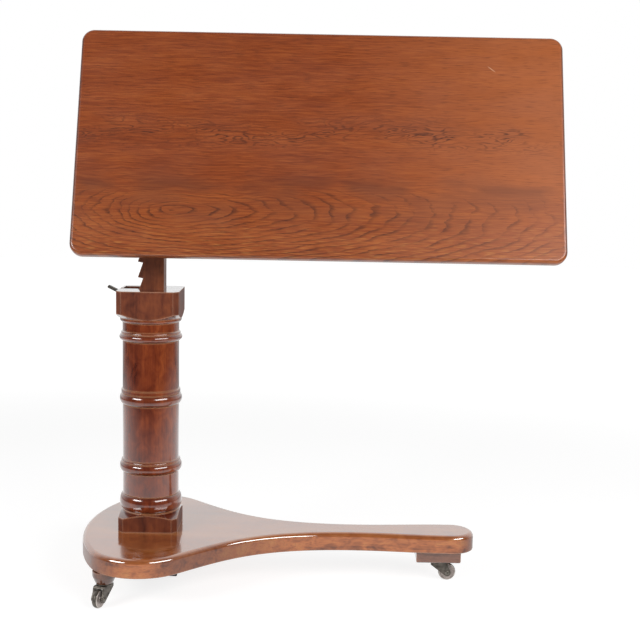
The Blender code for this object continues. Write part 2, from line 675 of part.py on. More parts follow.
def build_catch(stand):
    half = CATCH_WIDTH / 2
    catch = piece("height_catch", prism(catch_outline(), "Y", -half, half), stand, metal("height_catch"))
    room = CATCH_PIN_RADIUS + GAP
    left = arc((CATCH_PIN_X, CATCH_PIN_H), room, math.pi / 2, math.pi * 1.5, 6)
    right = arc((CATCH_PIN_X + CATCH_TRAVEL, CATCH_PIN_H), room, -math.pi / 2, math.pi / 2, 6)
    trim(catch, prism(left + right, "Y", -CATCH_WIDTH, CATCH_WIDTH), "pin_slot")
    pin = rod("Y", (CATCH_PIN_X, CATCH_PIN_H), CATCH_PIN_RADIUS, -CATCH_PIN_FRONT, COLLAR_HALF - 1 * MM)
    piece("catch_pin", pin, stand, metal("catch_pin", STEEL))
    start = POCKET_LEFT + GAP
    spring_h = (POCKET_FLOOR_H + CATCH_FLOOR_H) / 2
    coil("catch_spring", stand, metal("catch_spring", STEEL, 0.3), (start, 0, spring_h), (0, math.pi / 2, 0),
         CATCH_SPRING_RADIUS, CATCH_SPRING_WIRE, CATCH_SPRING_TURNS, CATCH_LUG_X - GAP - start)


def post_outline():
    """The post in X and Z: plain foot, teeth down the left side, flat shoulder on top."""
    points = [(POST_RIGHT, POST_FOOT_H), (POST_RIGHT, CROWN_H), (POST_TIP, CROWN_H)]
    for step in range(STEPS_DOWN + 1, -STEPS_UP - 1, -1):
        tip_h = TOOTH_H + step * TOOTH_PITCH
        points += [(POST_TIP, tip_h), (POST_ROOT, tip_h - TOOTH_UNDERCUT)]
        if step > -STEPS_UP:
            points.append((POST_TIP, tip_h - TOOTH_PITCH + TOOTH_LAND))
    last = points[-1][1]
    points += [(POST_TIP, last - TOOTH_PITCH), (POST_TIP, POST_FOOT_H)]
    return points


def build_post(carriage):
    body = prism(post_outline(), "Y", -POST_HALF_DEPTH, POST_HALF_DEPTH)
    shank = piece("ratchet_post", body, carriage, wood("ratchet_post"))
    tenon = box((POST_ROOT, -TENON_HALF_DEPTH, CROWN_H - OVER),
                (POST_RIGHT - TENON_SHOULDER, TENON_HALF_DEPTH, PIVOT_H - TENON_TOP))
    trim(shank, tenon, "tenon", "UNION")
    hole = rod("Y", (POST_MIDDLE, PIVOT_H - DOWEL_DROP), DOWEL_RADIUS + GAP, -HEAD_FRONT, HEAD_BACK)
    trim(shank, hole, "dowel_hole")


def head_outline():
    """The head block in Y and Z about the hinge: rounded at the front so that the top can swing past."""
    front = arc((0, 0), HEAD_FRONT, math.pi, math.pi / 2, 8)
    return [(-HEAD_FRONT, -HEAD_FOOT)] + front + [(HEAD_BACK, HEAD_FRONT), (HEAD_BACK, -HEAD_FOOT)]


def build_head(hinge):
    head = piece("head_block", prism(head_outline(), "X", HEAD_LEFT, HEAD_RIGHT), hinge, wood("head_block"))
    bore = rod("X", (0, 0), ROD_RADIUS + GAP, HEAD_LEFT - OVER, HEAD_RIGHT + OVER, ROUND_MEDIUM)
    trim(head, bore, "rod_bore")
    mortise = box((POST_ROOT - GAP, -TENON_HALF_DEPTH - GAP, -HEAD_FOOT - OVER),
                  (POST_RIGHT - TENON_SHOULDER + GAP, TENON_HALF_DEPTH + GAP, -TENON_TOP + GAP))
    trim(head, mortise, "mortise")
    dowel_at = (POST_MIDDLE, -DOWEL_DROP)
    hole = rod("Y", dowel_at, DOWEL_RADIUS + GAP, -HEAD_FRONT - OVER, HEAD_BACK + OVER)
    trim(head, hole, "dowel_hole")
    dowel = rod("Y", dowel_at, DOWEL_RADIUS, -HEAD_FRONT, HEAD_BACK)
    piece("head_dowel", dowel, hinge, wood("head_dowel"))
    line = (BOLT_Y, -BOLT_DROP)
    well_end = HEAD_RIGHT - BOLT_WELL
    trim(head, rod("X", line, BOLT_RADIUS + GAP, HEAD_LEFT - OVER, HEAD_RIGHT + OVER), "bolt_bore")
    well = rod("X", line, BOLT_FLANGE_RADIUS + GAP, well_end, HEAD_RIGHT + OVER, ROUND_MEDIUM)
    trim(head, well, "bolt_well")
    half_y = PLATE_HALF_Y + GAP
    half_z = PLATE_HALF_Z + GAP
    recess = box((HEAD_RIGHT - PLATE_THICK - GAP, BOLT_Y - half_y, -BOLT_DROP - half_z),
                 (HEAD_RIGHT + OVER, BOLT_Y + half_y, -BOLT_DROP + half_z))
    trim(head, recess, "plate_recess")
    trim(head, merged(*plate_screw_set(GAP)), "plate_screw_holes")

    rod_end = BEARER_RIGHT_X + BEARER_THICK + WASHER_THICK + NUT_THICK + 3 * MM
    rod_head = BEARER_LEFT_X - GAP
    shape = [(0, rod_head - ROD_HEAD_THICK), (ROD_HEAD_RADIUS - 1 * MM, rod_head - ROD_HEAD_THICK),
             (ROD_HEAD_RADIUS, rod_head - ROD_HEAD_THICK + 1 * MM), (ROD_HEAD_RADIUS, rod_head),
             (ROD_RADIUS, rod_head), (ROD_RADIUS, rod_end), (0, rod_end)]
    piece("pivot_rod", lathe(shape, ROUND_MEDIUM, along("X", (0, 0, 0))), hinge, metal("pivot_rod"))
    low = BEARER_RIGHT_X + BEARER_THICK + GAP
    high = low + WASHER_THICK - 2 * GAP
    ring = [(ROD_RADIUS + GAP, high), (ROD_RADIUS + GAP, low), (WASHER_RADIUS, low), (WASHER_RADIUS, high)]
    washer = lathe(ring, ROUND_MEDIUM, along("X", (0, 0, 0)), ring=True)
    piece("pivot_washer", washer, hinge, metal("pivot_washer", STEEL))
    hexagon = rod("X", (0, 0), NUT_ACROSS / math.sqrt(3), high + GAP, high + NUT_THICK, 6)
    nut = piece("pivot_nut", hexagon, hinge, metal("pivot_nut", STEEL))
    thread = rod("X", (0, 0), ROD_RADIUS + GAP, high - OVER, high + NUT_THICK + OVER, ROUND_MEDIUM)
    trim(nut, thread, "bore")


def plate_screw_set(room=0.0):
    return [screw(PLATE_SCREW_RADIUS, PLATE_SCREW_LENGTH, PLATE_SCREW_RADIUS + 0.9 * MM, 1 * MM,
                  along("X", (HEAD_RIGHT - GAP, BOLT_Y, -BOLT_DROP + shift), flip=True), room)
            for shift in (-PLATE_SCREW_OFFSET, PLATE_SCREW_OFFSET)]


def build_bolt(hinge):
    line = (BOLT_Y, -BOLT_DROP)
    flange_end = HEAD_RIGHT - PLATE_THICK - 2 * GAP
    flange_start = flange_end - BOLT_FLANGE_THICK
    nose_end = QUADRANT_X + QUADRANT_THICK - GAP
    knob_end = HEAD_LEFT - GAP
    knob_start = knob_end - KNOB_LENGTH
    shaft_start = knob_start + 4 * MM
    shape = [(0, shaft_start), (BOLT_RADIUS, shaft_start), (BOLT_RADIUS, flange_start),
             (BOLT_FLANGE_RADIUS, flange_start), (BOLT_FLANGE_RADIUS, flange_end),
             (BOLT_NOSE_RADIUS, flange_end), (BOLT_NOSE_RADIUS, nose_end - 1 * MM),
             (BOLT_NOSE_RADIUS - 1 * MM, nose_end), (0, nose_end)]
    place = (0, BOLT_Y, -BOLT_DROP)
    shaft = lathe(shape, ROUND_MEDIUM, along("X", (0, 0, 0)))
    piece("tilt_bolt", shaft, hinge, metal("tilt_bolt", STEEL), place)

    neck = KNOB_RADIUS * 0.68
    foot = KNOB_RADIUS * 0.8
    dome = [(0, knob_start), (KNOB_RADIUS * 0.6, knob_start + KNOB_LENGTH * 0.06),
            (KNOB_RADIUS * 0.92, knob_start + KNOB_LENGTH * 0.22),
            (KNOB_RADIUS, knob_start + KNOB_LENGTH * 0.38),
            (KNOB_RADIUS * 0.9, knob_start + KNOB_LENGTH * 0.53), (neck, knob_start + KNOB_LENGTH * 0.69),
            (neck, knob_end - 2 * MM), (foot, knob_end - 2 * MM), (foot, knob_end), (0, knob_end)]
    turned = lathe(dome, ROUND_MEDIUM, along("X", (0, 0, 0)))
    knob = piece("bolt_knob", turned, hinge, metal("bolt_knob", BRASS, 0.35), place)
    hole = rod("X", (0, 0), BOLT_RADIUS + GAP, shaft_start - GAP, knob_end + OVER)
    trim(knob, hole, "shaft_hole", location=place)

    sheet = box((HEAD_RIGHT - PLATE_THICK, BOLT_Y - PLATE_HALF_Y, -BOLT_DROP - PLATE_HALF_Z),
                (HEAD_RIGHT, BOLT_Y + PLATE_HALF_Y, -BOLT_DROP + PLATE_HALF_Z))
    plate = piece("bolt_plate", sheet, hinge, metal("bolt_plate", BRASS, 0.4))
    trim(plate, rod("X", line, BOLT_NOSE_RADIUS + GAP, HEAD_RIGHT - OVER, HEAD_RIGHT + OVER), "nose_hole")
    trim(plate, merged(*plate_screw_set(GAP)), "screw_holes")
    fasteners("bolt_plate_screw", plate_screw_set(), hinge, BRASS)

    spring_start = HEAD_RIGHT - BOLT_WELL + GAP
    spring_at = (spring_start, BOLT_Y, -BOLT_DROP)
    coil("bolt_spring", hinge, metal("bolt_spring", STEEL, 0.3), spring_at, (0, math.pi / 2, 0),
         BOLT_SPRING_RADIUS, BOLT_SPRING_WIRE, BOLT_SPRING_TURNS, flange_start - GAP - spring_start)


def bearer_outline():
    """A bearer in Y and Z about the hinge, with the top level: deep in the middle, thin at both ends."""
    end_z = UNDERSIDE - BEARER_END_THICK
    half = [(BEARER_MIDDLE_HALF, -BEARER_DROP),
            (BEARER_MIDDLE_HALF + BEARER_SWEEP, -BEARER_DROP + BEARER_STEP),
            (BEARER_HALF_LENGTH - BEARER_FLAT_LENGTH, end_z), (BEARER_HALF_LENGTH, end_z),
            (BEARER_HALF_LENGTH, UNDERSIDE)]
    return half + [(-y, z) for y, z in half[::-1]]


def top_screw_places():
    """Middle of each cross bar under the top, then the two places along it."""
    bars = [BEARER_LEFT_X + BEARER_THICK / 2, BEARER_RIGHT_X + BEARER_THICK / 2, end_batten_x()]
    return [(x, y) for x in bars for y in (-BEARER_SCREW_Y, BEARER_SCREW_Y)]


def end_batten_x():
    return TOP_LENGTH - TOP_LEFT - END_BATTEN_INSET - END_BATTEN_WIDTH / 2


def top_screw_set(room=0.0):
    seat = UNDERSIDE - BEARER_END_THICK + 1 * MM
    length = PIVOT_DROP - seat + SCREW_IN_TOP
    return [screw(SCREW_RADIUS, length, SCREW_HEAD_RADIUS, SCREW_HEAD_THICK, along("Z", (x, y, seat)), room)
            for x, y in top_screw_places()]


def quadrant_screw_set(room=0.0):
    start = QUADRANT_X + 0.2 * MM
    return [screw(SCREW_RADIUS - 0.4 * MM, QUADRANT_SCREW_LENGTH, SCREW_HEAD_RADIUS - 0.4 * MM, 2 * MM,
                  along("X", (start, y, -QUADRANT_SCREW_DROP)), room)
            for y in (-QUADRANT_SCREW_Y, QUADRANT_SCREW_Y)]


def rounded_rectangle(left, right, half, radius, steps):
    corners = [((right - radius, half - radius), 0), ((left + radius, half - radius), 1),
               ((left + radius, -half + radius), 2), ((right - radius, -half + radius), 3)]
    points = []
    for centre, quarter in corners:
        points += arc(centre, radius, quarter * math.pi / 2, (quarter + 1) * math.pi / 2, steps)
    return points


def build_top(tilt):
    """The top and its cross bars about the hinge, modelled level and tilted by their parent."""
    outline = rounded_rectangle(-TOP_LEFT, TOP_LENGTH - TOP_LEFT, TOP_DEPTH / 2, TOP_CORNER, 6)
    slab = prism(outline, "Z", PIVOT_DROP, PIVOT_DROP + TOP_THICK)
    soften(slab, at_height(PIVOT_DROP + TOP_THICK), TOP_EDGE_ROUND, 3)
    soften(slab, at_height(PIVOT_DROP), TOP_EDGE_ROUND, 3)
    board = piece("top_board", slab, tilt, wood("top_board", TOP_MAHOGANY))
    trim(board, merged(*top_screw_set(GAP)), "screw_holes")

    for name, start in (("bearer_left", BEARER_LEFT_X), ("bearer_right", BEARER_RIGHT_X)):
        bar = piece(name, prism(bearer_outline(), "X", start, start + BEARER_THICK), tilt, wood(name))
        bore = rod("X", (0, 0), ROD_RADIUS + GAP, start - OVER, start + BEARER_THICK + OVER, ROUND_MEDIUM)
        trim(bar, bore, "rod_bore")
        trim(bar, merged(*top_screw_set(GAP)), "screw_holes")
        if name == "bearer_right":
            trim(bar, merged(*quadrant_screw_set(GAP)), "quadrant_screw_holes")

    middle = end_batten_x()
    strip = box((middle - END_BATTEN_WIDTH / 2, -BEARER_HALF_LENGTH, UNDERSIDE - BEARER_END_THICK),
                (middle + END_BATTEN_WIDTH / 2, BEARER_HALF_LENGTH, UNDERSIDE))
    soften(strip, at_height(UNDERSIDE - BEARER_END_THICK), 3 * MM, 1)
    batten = piece("end_batten", strip, tilt, wood("end_batten"))
    trim(batten, merged(*top_screw_set(GAP)), "screw_holes")
    fasteners("bearer_screw", top_screw_set(), tilt, STEEL)

    rim = BOLT_REACH + QUADRANT_RIM
    lean = math.asin(QUADRANT_CHORD / rim)
    moon = arc((0, 0), rim, -lean, -math.pi + lean, 24)
    far_side = QUADRANT_X + QUADRANT_THICK
    plate = piece("tilt_quadrant", prism(moon, "X", QUADRANT_X, far_side), tilt, metal("tilt_quadrant"))
    holes = []
    for step in range(TILT_STEPS + 1):
        angle = BOLT_ANGLE - math.radians(TILT_STEP_DEG * step)
        centre = (BOLT_REACH * math.cos(angle), BOLT_REACH * math.sin(angle))
        holes.append(rod("X", centre, BOLT_NOSE_RADIUS + GAP, QUADRANT_X - OVER, far_side + OVER))
    trim(plate, merged(*holes), "tilt_holes")
    trim(plate, merged(*quadrant_screw_set(GAP)), "screw_holes")
    fasteners("quadrant_screw", quadrant_screw_set(), tilt, STEEL)


clear_scene()
stand_axis = axis_empty("stand_axis", (COLUMN_X, 0, BASE_TOP_Z))
post_axis = axis_empty("post_axis", (COLUMN_X, 0, BASE_TOP_Z))
hinge_axis = axis_empty("hinge_axis", (COLUMN_X, 0, BASE_TOP_Z + PIVOT_H))
tilt_axis = axis_empty("tilt_axis", (COLUMN_X, 0, BASE_TOP_Z + PIVOT_H), (TILT, 0, 0))
build_base(stand_axis)
for castor in castor_places():
    build_castor(*castor)
build_pillar(stand_axis)
build_catch(stand_axis)
build_post(post_axis)
build_head(hinge_axis)
build_bolt(hinge_axis)
build_top(tilt_axis)
bpy.context.view_layer.update()
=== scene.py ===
import math

import bmesh
import bpy
from mathutils import Matrix, Vector


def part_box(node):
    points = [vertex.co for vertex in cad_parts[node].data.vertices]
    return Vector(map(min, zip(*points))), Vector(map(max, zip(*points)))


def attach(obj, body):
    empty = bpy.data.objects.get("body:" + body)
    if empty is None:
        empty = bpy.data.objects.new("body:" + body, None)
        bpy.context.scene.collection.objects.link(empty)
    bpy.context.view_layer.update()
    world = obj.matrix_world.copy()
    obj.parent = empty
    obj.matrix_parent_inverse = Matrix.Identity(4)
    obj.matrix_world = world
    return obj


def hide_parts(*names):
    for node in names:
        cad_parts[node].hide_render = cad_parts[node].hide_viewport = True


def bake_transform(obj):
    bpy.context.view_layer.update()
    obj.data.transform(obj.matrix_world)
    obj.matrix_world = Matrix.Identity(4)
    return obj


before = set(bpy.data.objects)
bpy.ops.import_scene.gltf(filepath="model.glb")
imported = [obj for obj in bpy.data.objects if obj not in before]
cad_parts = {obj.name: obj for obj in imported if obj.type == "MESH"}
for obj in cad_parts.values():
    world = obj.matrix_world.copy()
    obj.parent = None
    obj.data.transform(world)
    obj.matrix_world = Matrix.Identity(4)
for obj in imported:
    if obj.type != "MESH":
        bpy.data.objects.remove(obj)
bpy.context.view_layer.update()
bpy.ops.object.select_all(action="DESELECT")

# The studio: white paper under and behind the table, and two softboxes left and right of the camera.
# In reflections the paper glows as a painted pool of light: bright round the table, half as bright far behind
# it, dim in front. That pool and the white wall behind are what the polish mirrors. The room on the camera's
# side is dark, and that dark is the deep middle of the pillar's reflections.
TABLE_X = -0.273
CAMERA_AT = (0.0044, -1.9936, 0.7066)
LOOK_DOWN = 7.68
LEAN = 1.08
LENS = 68.94
SOFTBOX_SIDE = 1.487
SOFTBOX_FRONT = -1.34
SOFTBOX_HEIGHT = 1.2


def paint(colour):
    """An sRGB hex colour as linear RGBA."""
    parts = [int(colour[i:i + 2], 16) / 255 for i in (1, 3, 5)]
    return (*[p / 12.92 if p <= 0.04045 else ((p + 0.055) / 1.055) ** 2.4 for p in parts], 1.0)


def add(tree, kind, inputs=None, stops=None, out=0, **settings):
    """Add one node with its settings, a ramp's stops, and a value or a link for each input.

    It gives back the named output, or all of them where out is None."""
    node = tree.nodes.new("ShaderNode" + kind)
    for key, value in settings.items():
        setattr(node, key, value)
    if stops:
        ramp = node.color_ramp.elements
        while len(ramp) < len(stops):
            ramp.new(0.5)
        for point, (position, colour) in zip(ramp, stops):
            point.position = position
            point.color = colour
    for key, value in (inputs or {}).items():
        if isinstance(value, bpy.types.NodeSocket):
            tree.links.new(value, node.inputs[key])
        else:
            node.inputs[key].default_value = value
    return node.outputs if out is None else node.outputs[out]


aim = Matrix.Rotation(math.radians(90 - LOOK_DOWN), 3, "X") @ Matrix.Rotation(math.radians(LEAN), 3, "Z")
bpy.ops.object.camera_add(location=CAMERA_AT, rotation=aim.to_euler())
camera = bpy.context.object
camera.data.lens = LENS
bpy.context.scene.camera = camera
bpy.context.scene.view_settings.view_transform = "Standard"

room = bpy.data.worlds.new("white_studio")
bpy.context.scene.world = room
room.use_nodes = True
sky = room.node_tree
path = add(sky, "LightPath", out=None)
ahead = add(sky, "SeparateXYZ", {0: add(sky, "TexCoord", out="Generated")}, out="Y")
walls = add(sky, "MapRange", {"Value": ahead, "From Min": -0.3, "From Max": 0.75,
                              "To Min": 0.05, "To Max": 1.0}, interpolation_type="SMOOTHSTEP")
mirrored = add(sky, "Math", {0: path["Is Glossy Ray"], 1: path["Is Transmission Ray"]}, operation="MAXIMUM")
lit = add(sky, "Mix", {0: mirrored, 2: 0.25, 3: walls})
shown = add(sky, "Mix", {0: path["Is Camera Ray"], 2: lit, 3: 1.0})
sky.links.new(shown, sky.nodes["Background"].inputs["Strength"])
sky.nodes["Background"].inputs["Color"].default_value = paint("#FFFFFF")

bpy.ops.mesh.primitive_plane_add(size=12)
floor = bpy.context.object
floor.name = "paper_floor"
paper = bpy.data.materials.new("matt_white_paper")
paper.use_nodes = True
tree = paper.node_tree
path = add(tree, "LightPath", out=None)
place = add(tree, "TexCoord", out="Object")
pool = add(tree, "VectorMath", {0: place, 1: (TABLE_X, 0.35, 0)}, operation="SUBTRACT")
pool = add(tree, "VectorMath", {0: pool, 1: (1, 1.35, 0)}, operation="MULTIPLY")
pool = add(tree, "VectorMath", {0: pool}, operation="LENGTH", out="Value")
# Painted light: what glossy rays see of the paper is an emission, bright near the table and fading away from
# it.
painted_pool_glow = add(tree, "MapRange", {"Value": pool, "From Min": 2.5, "From Max": 0.8, "To Min": 0.03,
                                "To Max": 1.0}, interpolation_type="SMOOTHSTEP")
depth = add(tree, "SeparateXYZ", {0: place}, out="Y")
behind = add(tree, "MapRange", {"Value": depth, "From Min": 0.6, "From Max": 2.2,
                                "To Max": 0.5}, interpolation_type="SMOOTHSTEP")
painted_pool_glow = add(tree, "Math", {0: painted_pool_glow, 1: behind}, operation="MAXIMUM")
white = add(tree, "MapRange", {"Value": pool, "From Min": 0.9, "From Max": 3.0, "To Min": 0.82,
                               "To Max": 1.0}, interpolation_type="SMOOTHSTEP")
fibre = add(tree, "BsdfDiffuse", {"Color": paint("#E6E6E6")})
faint = add(tree, "BsdfDiffuse", {"Color": paint("#9C9C9C")})
glow = add(tree, "Emission", {"Strength": white})
seen = add(tree, "AddShader", {0: faint, 1: glow})
sheen = add(tree, "Emission", {"Strength": painted_pool_glow})
mirrored = add(tree, "Math", {0: path["Is Glossy Ray"],
                              1: path["Is Transmission Ray"]}, operation="MAXIMUM")
mixed = add(tree, "MixShader", {0: path["Is Camera Ray"], 1: fibre, 2: seen})
mixed = add(tree, "MixShader", {0: mirrored, 1: mixed, 2: sheen})
tree.links.new(mixed, tree.nodes["Material Output"].inputs["Surface"])
floor.data.materials.append(paper)

# The softboxes are wide but not tall. From behind and above, the platform still mirrors one and looks white.
for side, name, wide, high, power in ((-1, "softbox_left", 1.2, 0.5, 24), (1, "softbox_right", 1.8, 0.6, 27)):
    place = Vector((TABLE_X + side * SOFTBOX_SIDE, SOFTBOX_FRONT, SOFTBOX_HEIGHT))
    aim = (Vector((TABLE_X, 0, 0.5)) - place).to_track_quat("-Z", "Y")
    bpy.ops.object.light_add(type="AREA", location=place, rotation=aim.to_euler())
    softbox = bpy.context.object
    softbox.name = name
    softbox.data.shape = "RECTANGLE"
    softbox.data.size = wide
    softbox.data.size_y = high
    softbox.data.energy = power

# The platform: one mahogany board 30 mm thick, sawn to a pear with a long arm, its upper edge rounded
# over with a moulding plane and its lower edge just eased. It carries the pillar on its broad end.
PLATFORM_THICK = 30
PLATFORM_HEIGHT = 86
BROAD_LEFT = 109
BROAD_RADIUS = 309
BROAD_HALF = 186
WAIST = 340
WAIST_HALF = 28
ARM_TIP = 541
TIP_RADIUS = 37


def at(x, y, z):
    """A place so many millimetres along X, Y and Z."""
    return Matrix.Translation((x / 1000, y / 1000, z / 1000))


def sweep(centre, radius, start, end, steps):
    """Points of an arc, its angles in degrees."""
    turns = [math.radians(start + (end - start) * i / steps) for i in range(steps + 1)]
    return [(centre[0] + radius * math.cos(a), centre[1] + radius * math.sin(a)) for a in turns]


def metres(points):
    """Points drawn in millimetres, as metres."""
    return [(x / 1000, y / 1000) for x, y in points]


def saw_out(name, outline, thick, place=Matrix()):
    """A board sawn to an outline in its XY plane, thickened along Z and set in place, in millimetres."""
    bpy.ops.object.select_all(action="DESELECT")
    bpy.ops.mesh.primitive_circle_add(vertices=len(outline), fill_type="NGON")
    board = bpy.context.object
    board.name = board.data.name = name
    for corner, (x, y) in zip(board.data.vertices, metres(outline)):
        corner.co = (x, y, 0)
    bpy.ops.object.mode_set(mode="EDIT")
    bpy.ops.mesh.select_all(action="SELECT")
    bpy.ops.mesh.extrude_region_move(TRANSFORM_OT_translate={"value": (0, 0, thick / 1000)})
    bpy.ops.mesh.select_all(action="SELECT")
    bpy.ops.mesh.normals_make_consistent(inside=False)
    bpy.ops.object.mode_set(mode="OBJECT")
    board.data.transform(place)
    return board


def round_edges(piece, end, width, segments):
    """Round over the edges of a piece's lowest or highest face, for which end is min or max."""
    level = end(vert.co.z for vert in piece.data.vertices)
    bpy.context.view_layer.objects.active = piece
    bpy.ops.object.mode_set(mode="EDIT")
    bpy.ops.mesh.select_mode(type="EDGE")
    bpy.ops.mesh.select_all(action="DESELECT")
    bm = bmesh.from_edit_mesh(piece.data)
    for edge in bm.edges:
        edge.select_set(all(abs(vert.co.z - level) < 1e-4 for vert in edge.verts))
    bmesh.update_edit_mesh(piece.data)
    bpy.ops.mesh.bevel(offset=width / 1000, segments=segments, affect="EDGES", clamp_overlap=True)
    bpy.ops.object.mode_set(mode="OBJECT")


def fit(piece, finish, body, slot, *nodes):
    """Smooth a finished piece, give it its finish or finishes, and set it on its body for its CAD nodes."""
    bpy.ops.object.select_all(action="DESELECT")
    piece.select_set(True)
    bpy.context.view_layer.objects.active = piece
    bpy.ops.object.shade_smooth_by_angle(angle=math.radians(32))
    flats = piece.modifiers.new("flat_faces", "WEIGHTED_NORMAL")
    flats.keep_sharp = True
    bpy.ops.object.modifier_apply(modifier=flats.name)
    piece.data.materials.clear()
    for coat in finish if isinstance(finish, list) else [finish]:
        piece.data.materials.append(coat)
    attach(piece, body)
    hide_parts(*nodes)


def new_finish(name):
    """A new material with its nodes and its shader."""
    made = bpy.data.materials.new(name)
    made.use_nodes = True
    return made, made.node_tree, made.node_tree.nodes["Principled BSDF"]


def polished_mahogany(name, turn, deep, middle, pale, rub_and_highlight, mottle, stain, gloss, film):
    """French-polished mahogany with its grain along X after the turn.

    Growth bands 45 mm wide and streaks 3 mm wide run with the grain. A broken mottle of about 18 mm lies
    across it, old stains darken it in places, and pores make short dark strokes. Pores are really 0.3 mm
    wide; they are drawn at 1.2 mm to show. End grain has drunk more stain and is darker. Every arris is
    paler:
    handling has rubbed the colour thin there, and the pale line is also a painted highlight. The shellac film
    gives deep colour under a clear reflection."""
    made, tree, shader = new_finish(name)
    place = add(tree, "TexCoord", out="Object")
    board = add(tree, "Mapping", {"Vector": place, "Rotation": turn})
    layers = []
    for along, across, detail, bend in ((0.40, 0.045, 2, 0.4), (0.11, 0.003, 2, 0.0), (0.024, 0.016, 2, 0.9),
                                        (0.050, 0.012, 3, 1.5), (0.014, 0.0012, 1, 0.0)):
        drawn = add(tree, "Mapping", {"Vector": board, "Scale": (1 / along, 1 / across, 1 / across)})
        layers.append(add(tree, "TexNoise", {"Vector": drawn, "Scale": 1.0,
                                             "Detail": detail, "Distortion": bend}))
    bands, streaks, patches, spots, strokes = layers
    tone = add(tree, "Mix", {0: 0.25, 2: bands, 3: streaks})
    tone = add(tree, "Mix", {0: mottle, 2: tone, 3: patches})
    wood = add(tree, "ValToRGB", {0: tone}, [(0.36, paint(deep)), (0.5, paint(middle)),
                                             (0.64, paint(pale))])
    pore = add(tree, "MapRange", {"Value": strokes, "From Min": 0.56, "From Max": 0.70, "To Max": 0.4})
    old = add(tree, "MapRange", {"Value": spots, "From Min": 0.54, "From Max": 0.68, "To Max": stain})
    dark = add(tree, "Math", {0: pore, 1: old}, operation="MAXIMUM")
    wood = add(tree, "Mix", {0: dark, 6: wood, 7: paint(deep)}, data_type="RGBA", out=2)
    # Along every arris the colour goes paler: partly rubbed wear, partly a painted highlight.
    soft = add(tree, "Bevel", {"Radius": 0.0035}, samples=6)
    hard = add(tree, "NewGeometry", out="Normal")
    arris = add(tree, "VectorMath", {0: soft, 1: hard}, operation="DOT_PRODUCT", out="Value")
    rubbed_and_highlight = add(tree, "MapRange", {"Value": arris, "From Min": 0.992, "From Max": 0.94, "To Max": 0.6})
    facing = add(tree, "TexCoord", out="Normal")
    facing = add(tree, "Mapping", {"Vector": facing, "Rotation": turn}, vector_type="VECTOR")
    across = add(tree, "SeparateXYZ", {0: facing}, out="X")
    across = add(tree, "Math", {0: across}, operation="ABSOLUTE")
    thirst = add(tree, "MapRange", {"Value": across, "From Min": 0.2, "To Max": 0.9})
    wood = add(tree, "Mix", {0: thirst, 6: wood, 7: paint(deep)}, data_type="RGBA", out=2)
    wood = add(tree, "Mix", {0: rubbed_and_highlight, 6: wood, 7: paint(rub_and_highlight)}, data_type="RGBA", out=2)
    tree.links.new(wood, shader.inputs["Base Color"])
    worn = add(tree, "MapRange", {"Value": patches, "From Min": 0.3, "From Max": 0.7,
                                  "To Min": gloss + 0.06, "To Max": gloss + 0.16})
    tree.links.new(worn, shader.inputs["Roughness"])
    relief = add(tree, "Math", {0: streaks, 1: pore}, operation="SUBTRACT")
    bump = add(tree, "Bump", {"Height": relief, "Strength": 0.1, "Distance": 0.0004})
    tree.links.new(bump, shader.inputs["Normal"])
    shader.inputs["Coat Weight"].default_value = film
    shader.inputs["Coat Roughness"].default_value = gloss
    shader.inputs["Coat IOR"].default_value = 1.7
    return made


FOOT = Matrix.Translation((TABLE_X, 0, 0))
STAND = FOOT @ at(0, 0, PLATFORM_HEIGHT)
left_centre = BROAD_RADIUS - BROAD_LEFT
corner = (BROAD_RADIUS**2 - left_centre**2 - BROAD_HALF**2) / (2 * (BROAD_RADIUS - BROAD_HALF))
meet = math.degrees(math.atan2(BROAD_HALF - corner, -left_centre))
pear = sweep((left_centre, 0), BROAD_RADIUS, 180, meet, 20)
pear += sweep((0, BROAD_HALF - corner), corner, meet, 45, 26)[1:]
# One smooth curve sweeps from the broad end into the waist, and the arm swells from there to its tip.
leave = Vector(pear[-1])
pull = [leave, leave + Vector((1, -1)).normalized() * 100, Vector((WAIST - 160, WAIST_HALF)),
        Vector((WAIST, WAIST_HALF))]
for i in range(1, 37):
    t = i / 36
    shares = ((1 - t)**3, 3 * (1 - t)**2 * t, 3 * (1 - t) * t**2, t**3)
    pear.append(tuple(sum(point[axis] * share for point, share in zip(pull, shares)) for axis in (0, 1)))
arm_end = ARM_TIP - TIP_RADIUS
for i in range(1, 16):
    swell = (TIP_RADIUS - WAIST_HALF) * (1 - math.cos(math.pi * i / 16)) / 2
    pear.append((WAIST + (arm_end - WAIST) * i / 16, WAIST_HALF + swell))
pear += sweep((arm_end, 0), TIP_RADIUS, 90, 0, 18)
pear += [(x, -y) for x, y in pear[-2:0:-1]]

platform = saw_out("pear_platform", pear, PLATFORM_THICK, STAND @ at(0, 0, -PLATFORM_THICK))
round_edges(platform, max, 8, 7)
round_edges(platform, min, 2, 3)
# The thick old polish on the upper face mirrors like glass. On the edge, shoes have rubbed it dull; its
# paler, more orange colour there is painted light, for the light the upright edge catches.
platform_polish = polished_mahogany("platform_french_polish", (0, 0, 0), "#86441F", "#A86030", "#B8743E",
                                    "#C89068", mottle=0.35, stain=0.1, gloss=0.08, film=1.0)
platform_polish.node_tree.nodes["Principled BSDF"].inputs["Coat IOR"].default_value = 2.4
edge_painted_light_polish = polished_mahogany("platform_edge_painted_light_polish", (0, 0, 0), "#5C3226", "#BC7044", "#CA8852",
                                "#D09A70", mottle=0.35, stain=0.1, gloss=0.25, film=0.4)
fit(platform, [platform_polish, edge_painted_light_polish], "stand", "mahogany", "base_board")
# Upright faces take the edge polish, whose paler orange colour is painted light.
for face in platform.data.polygons:
    face.material_index = int(abs(face.normal.z) < 0.3)

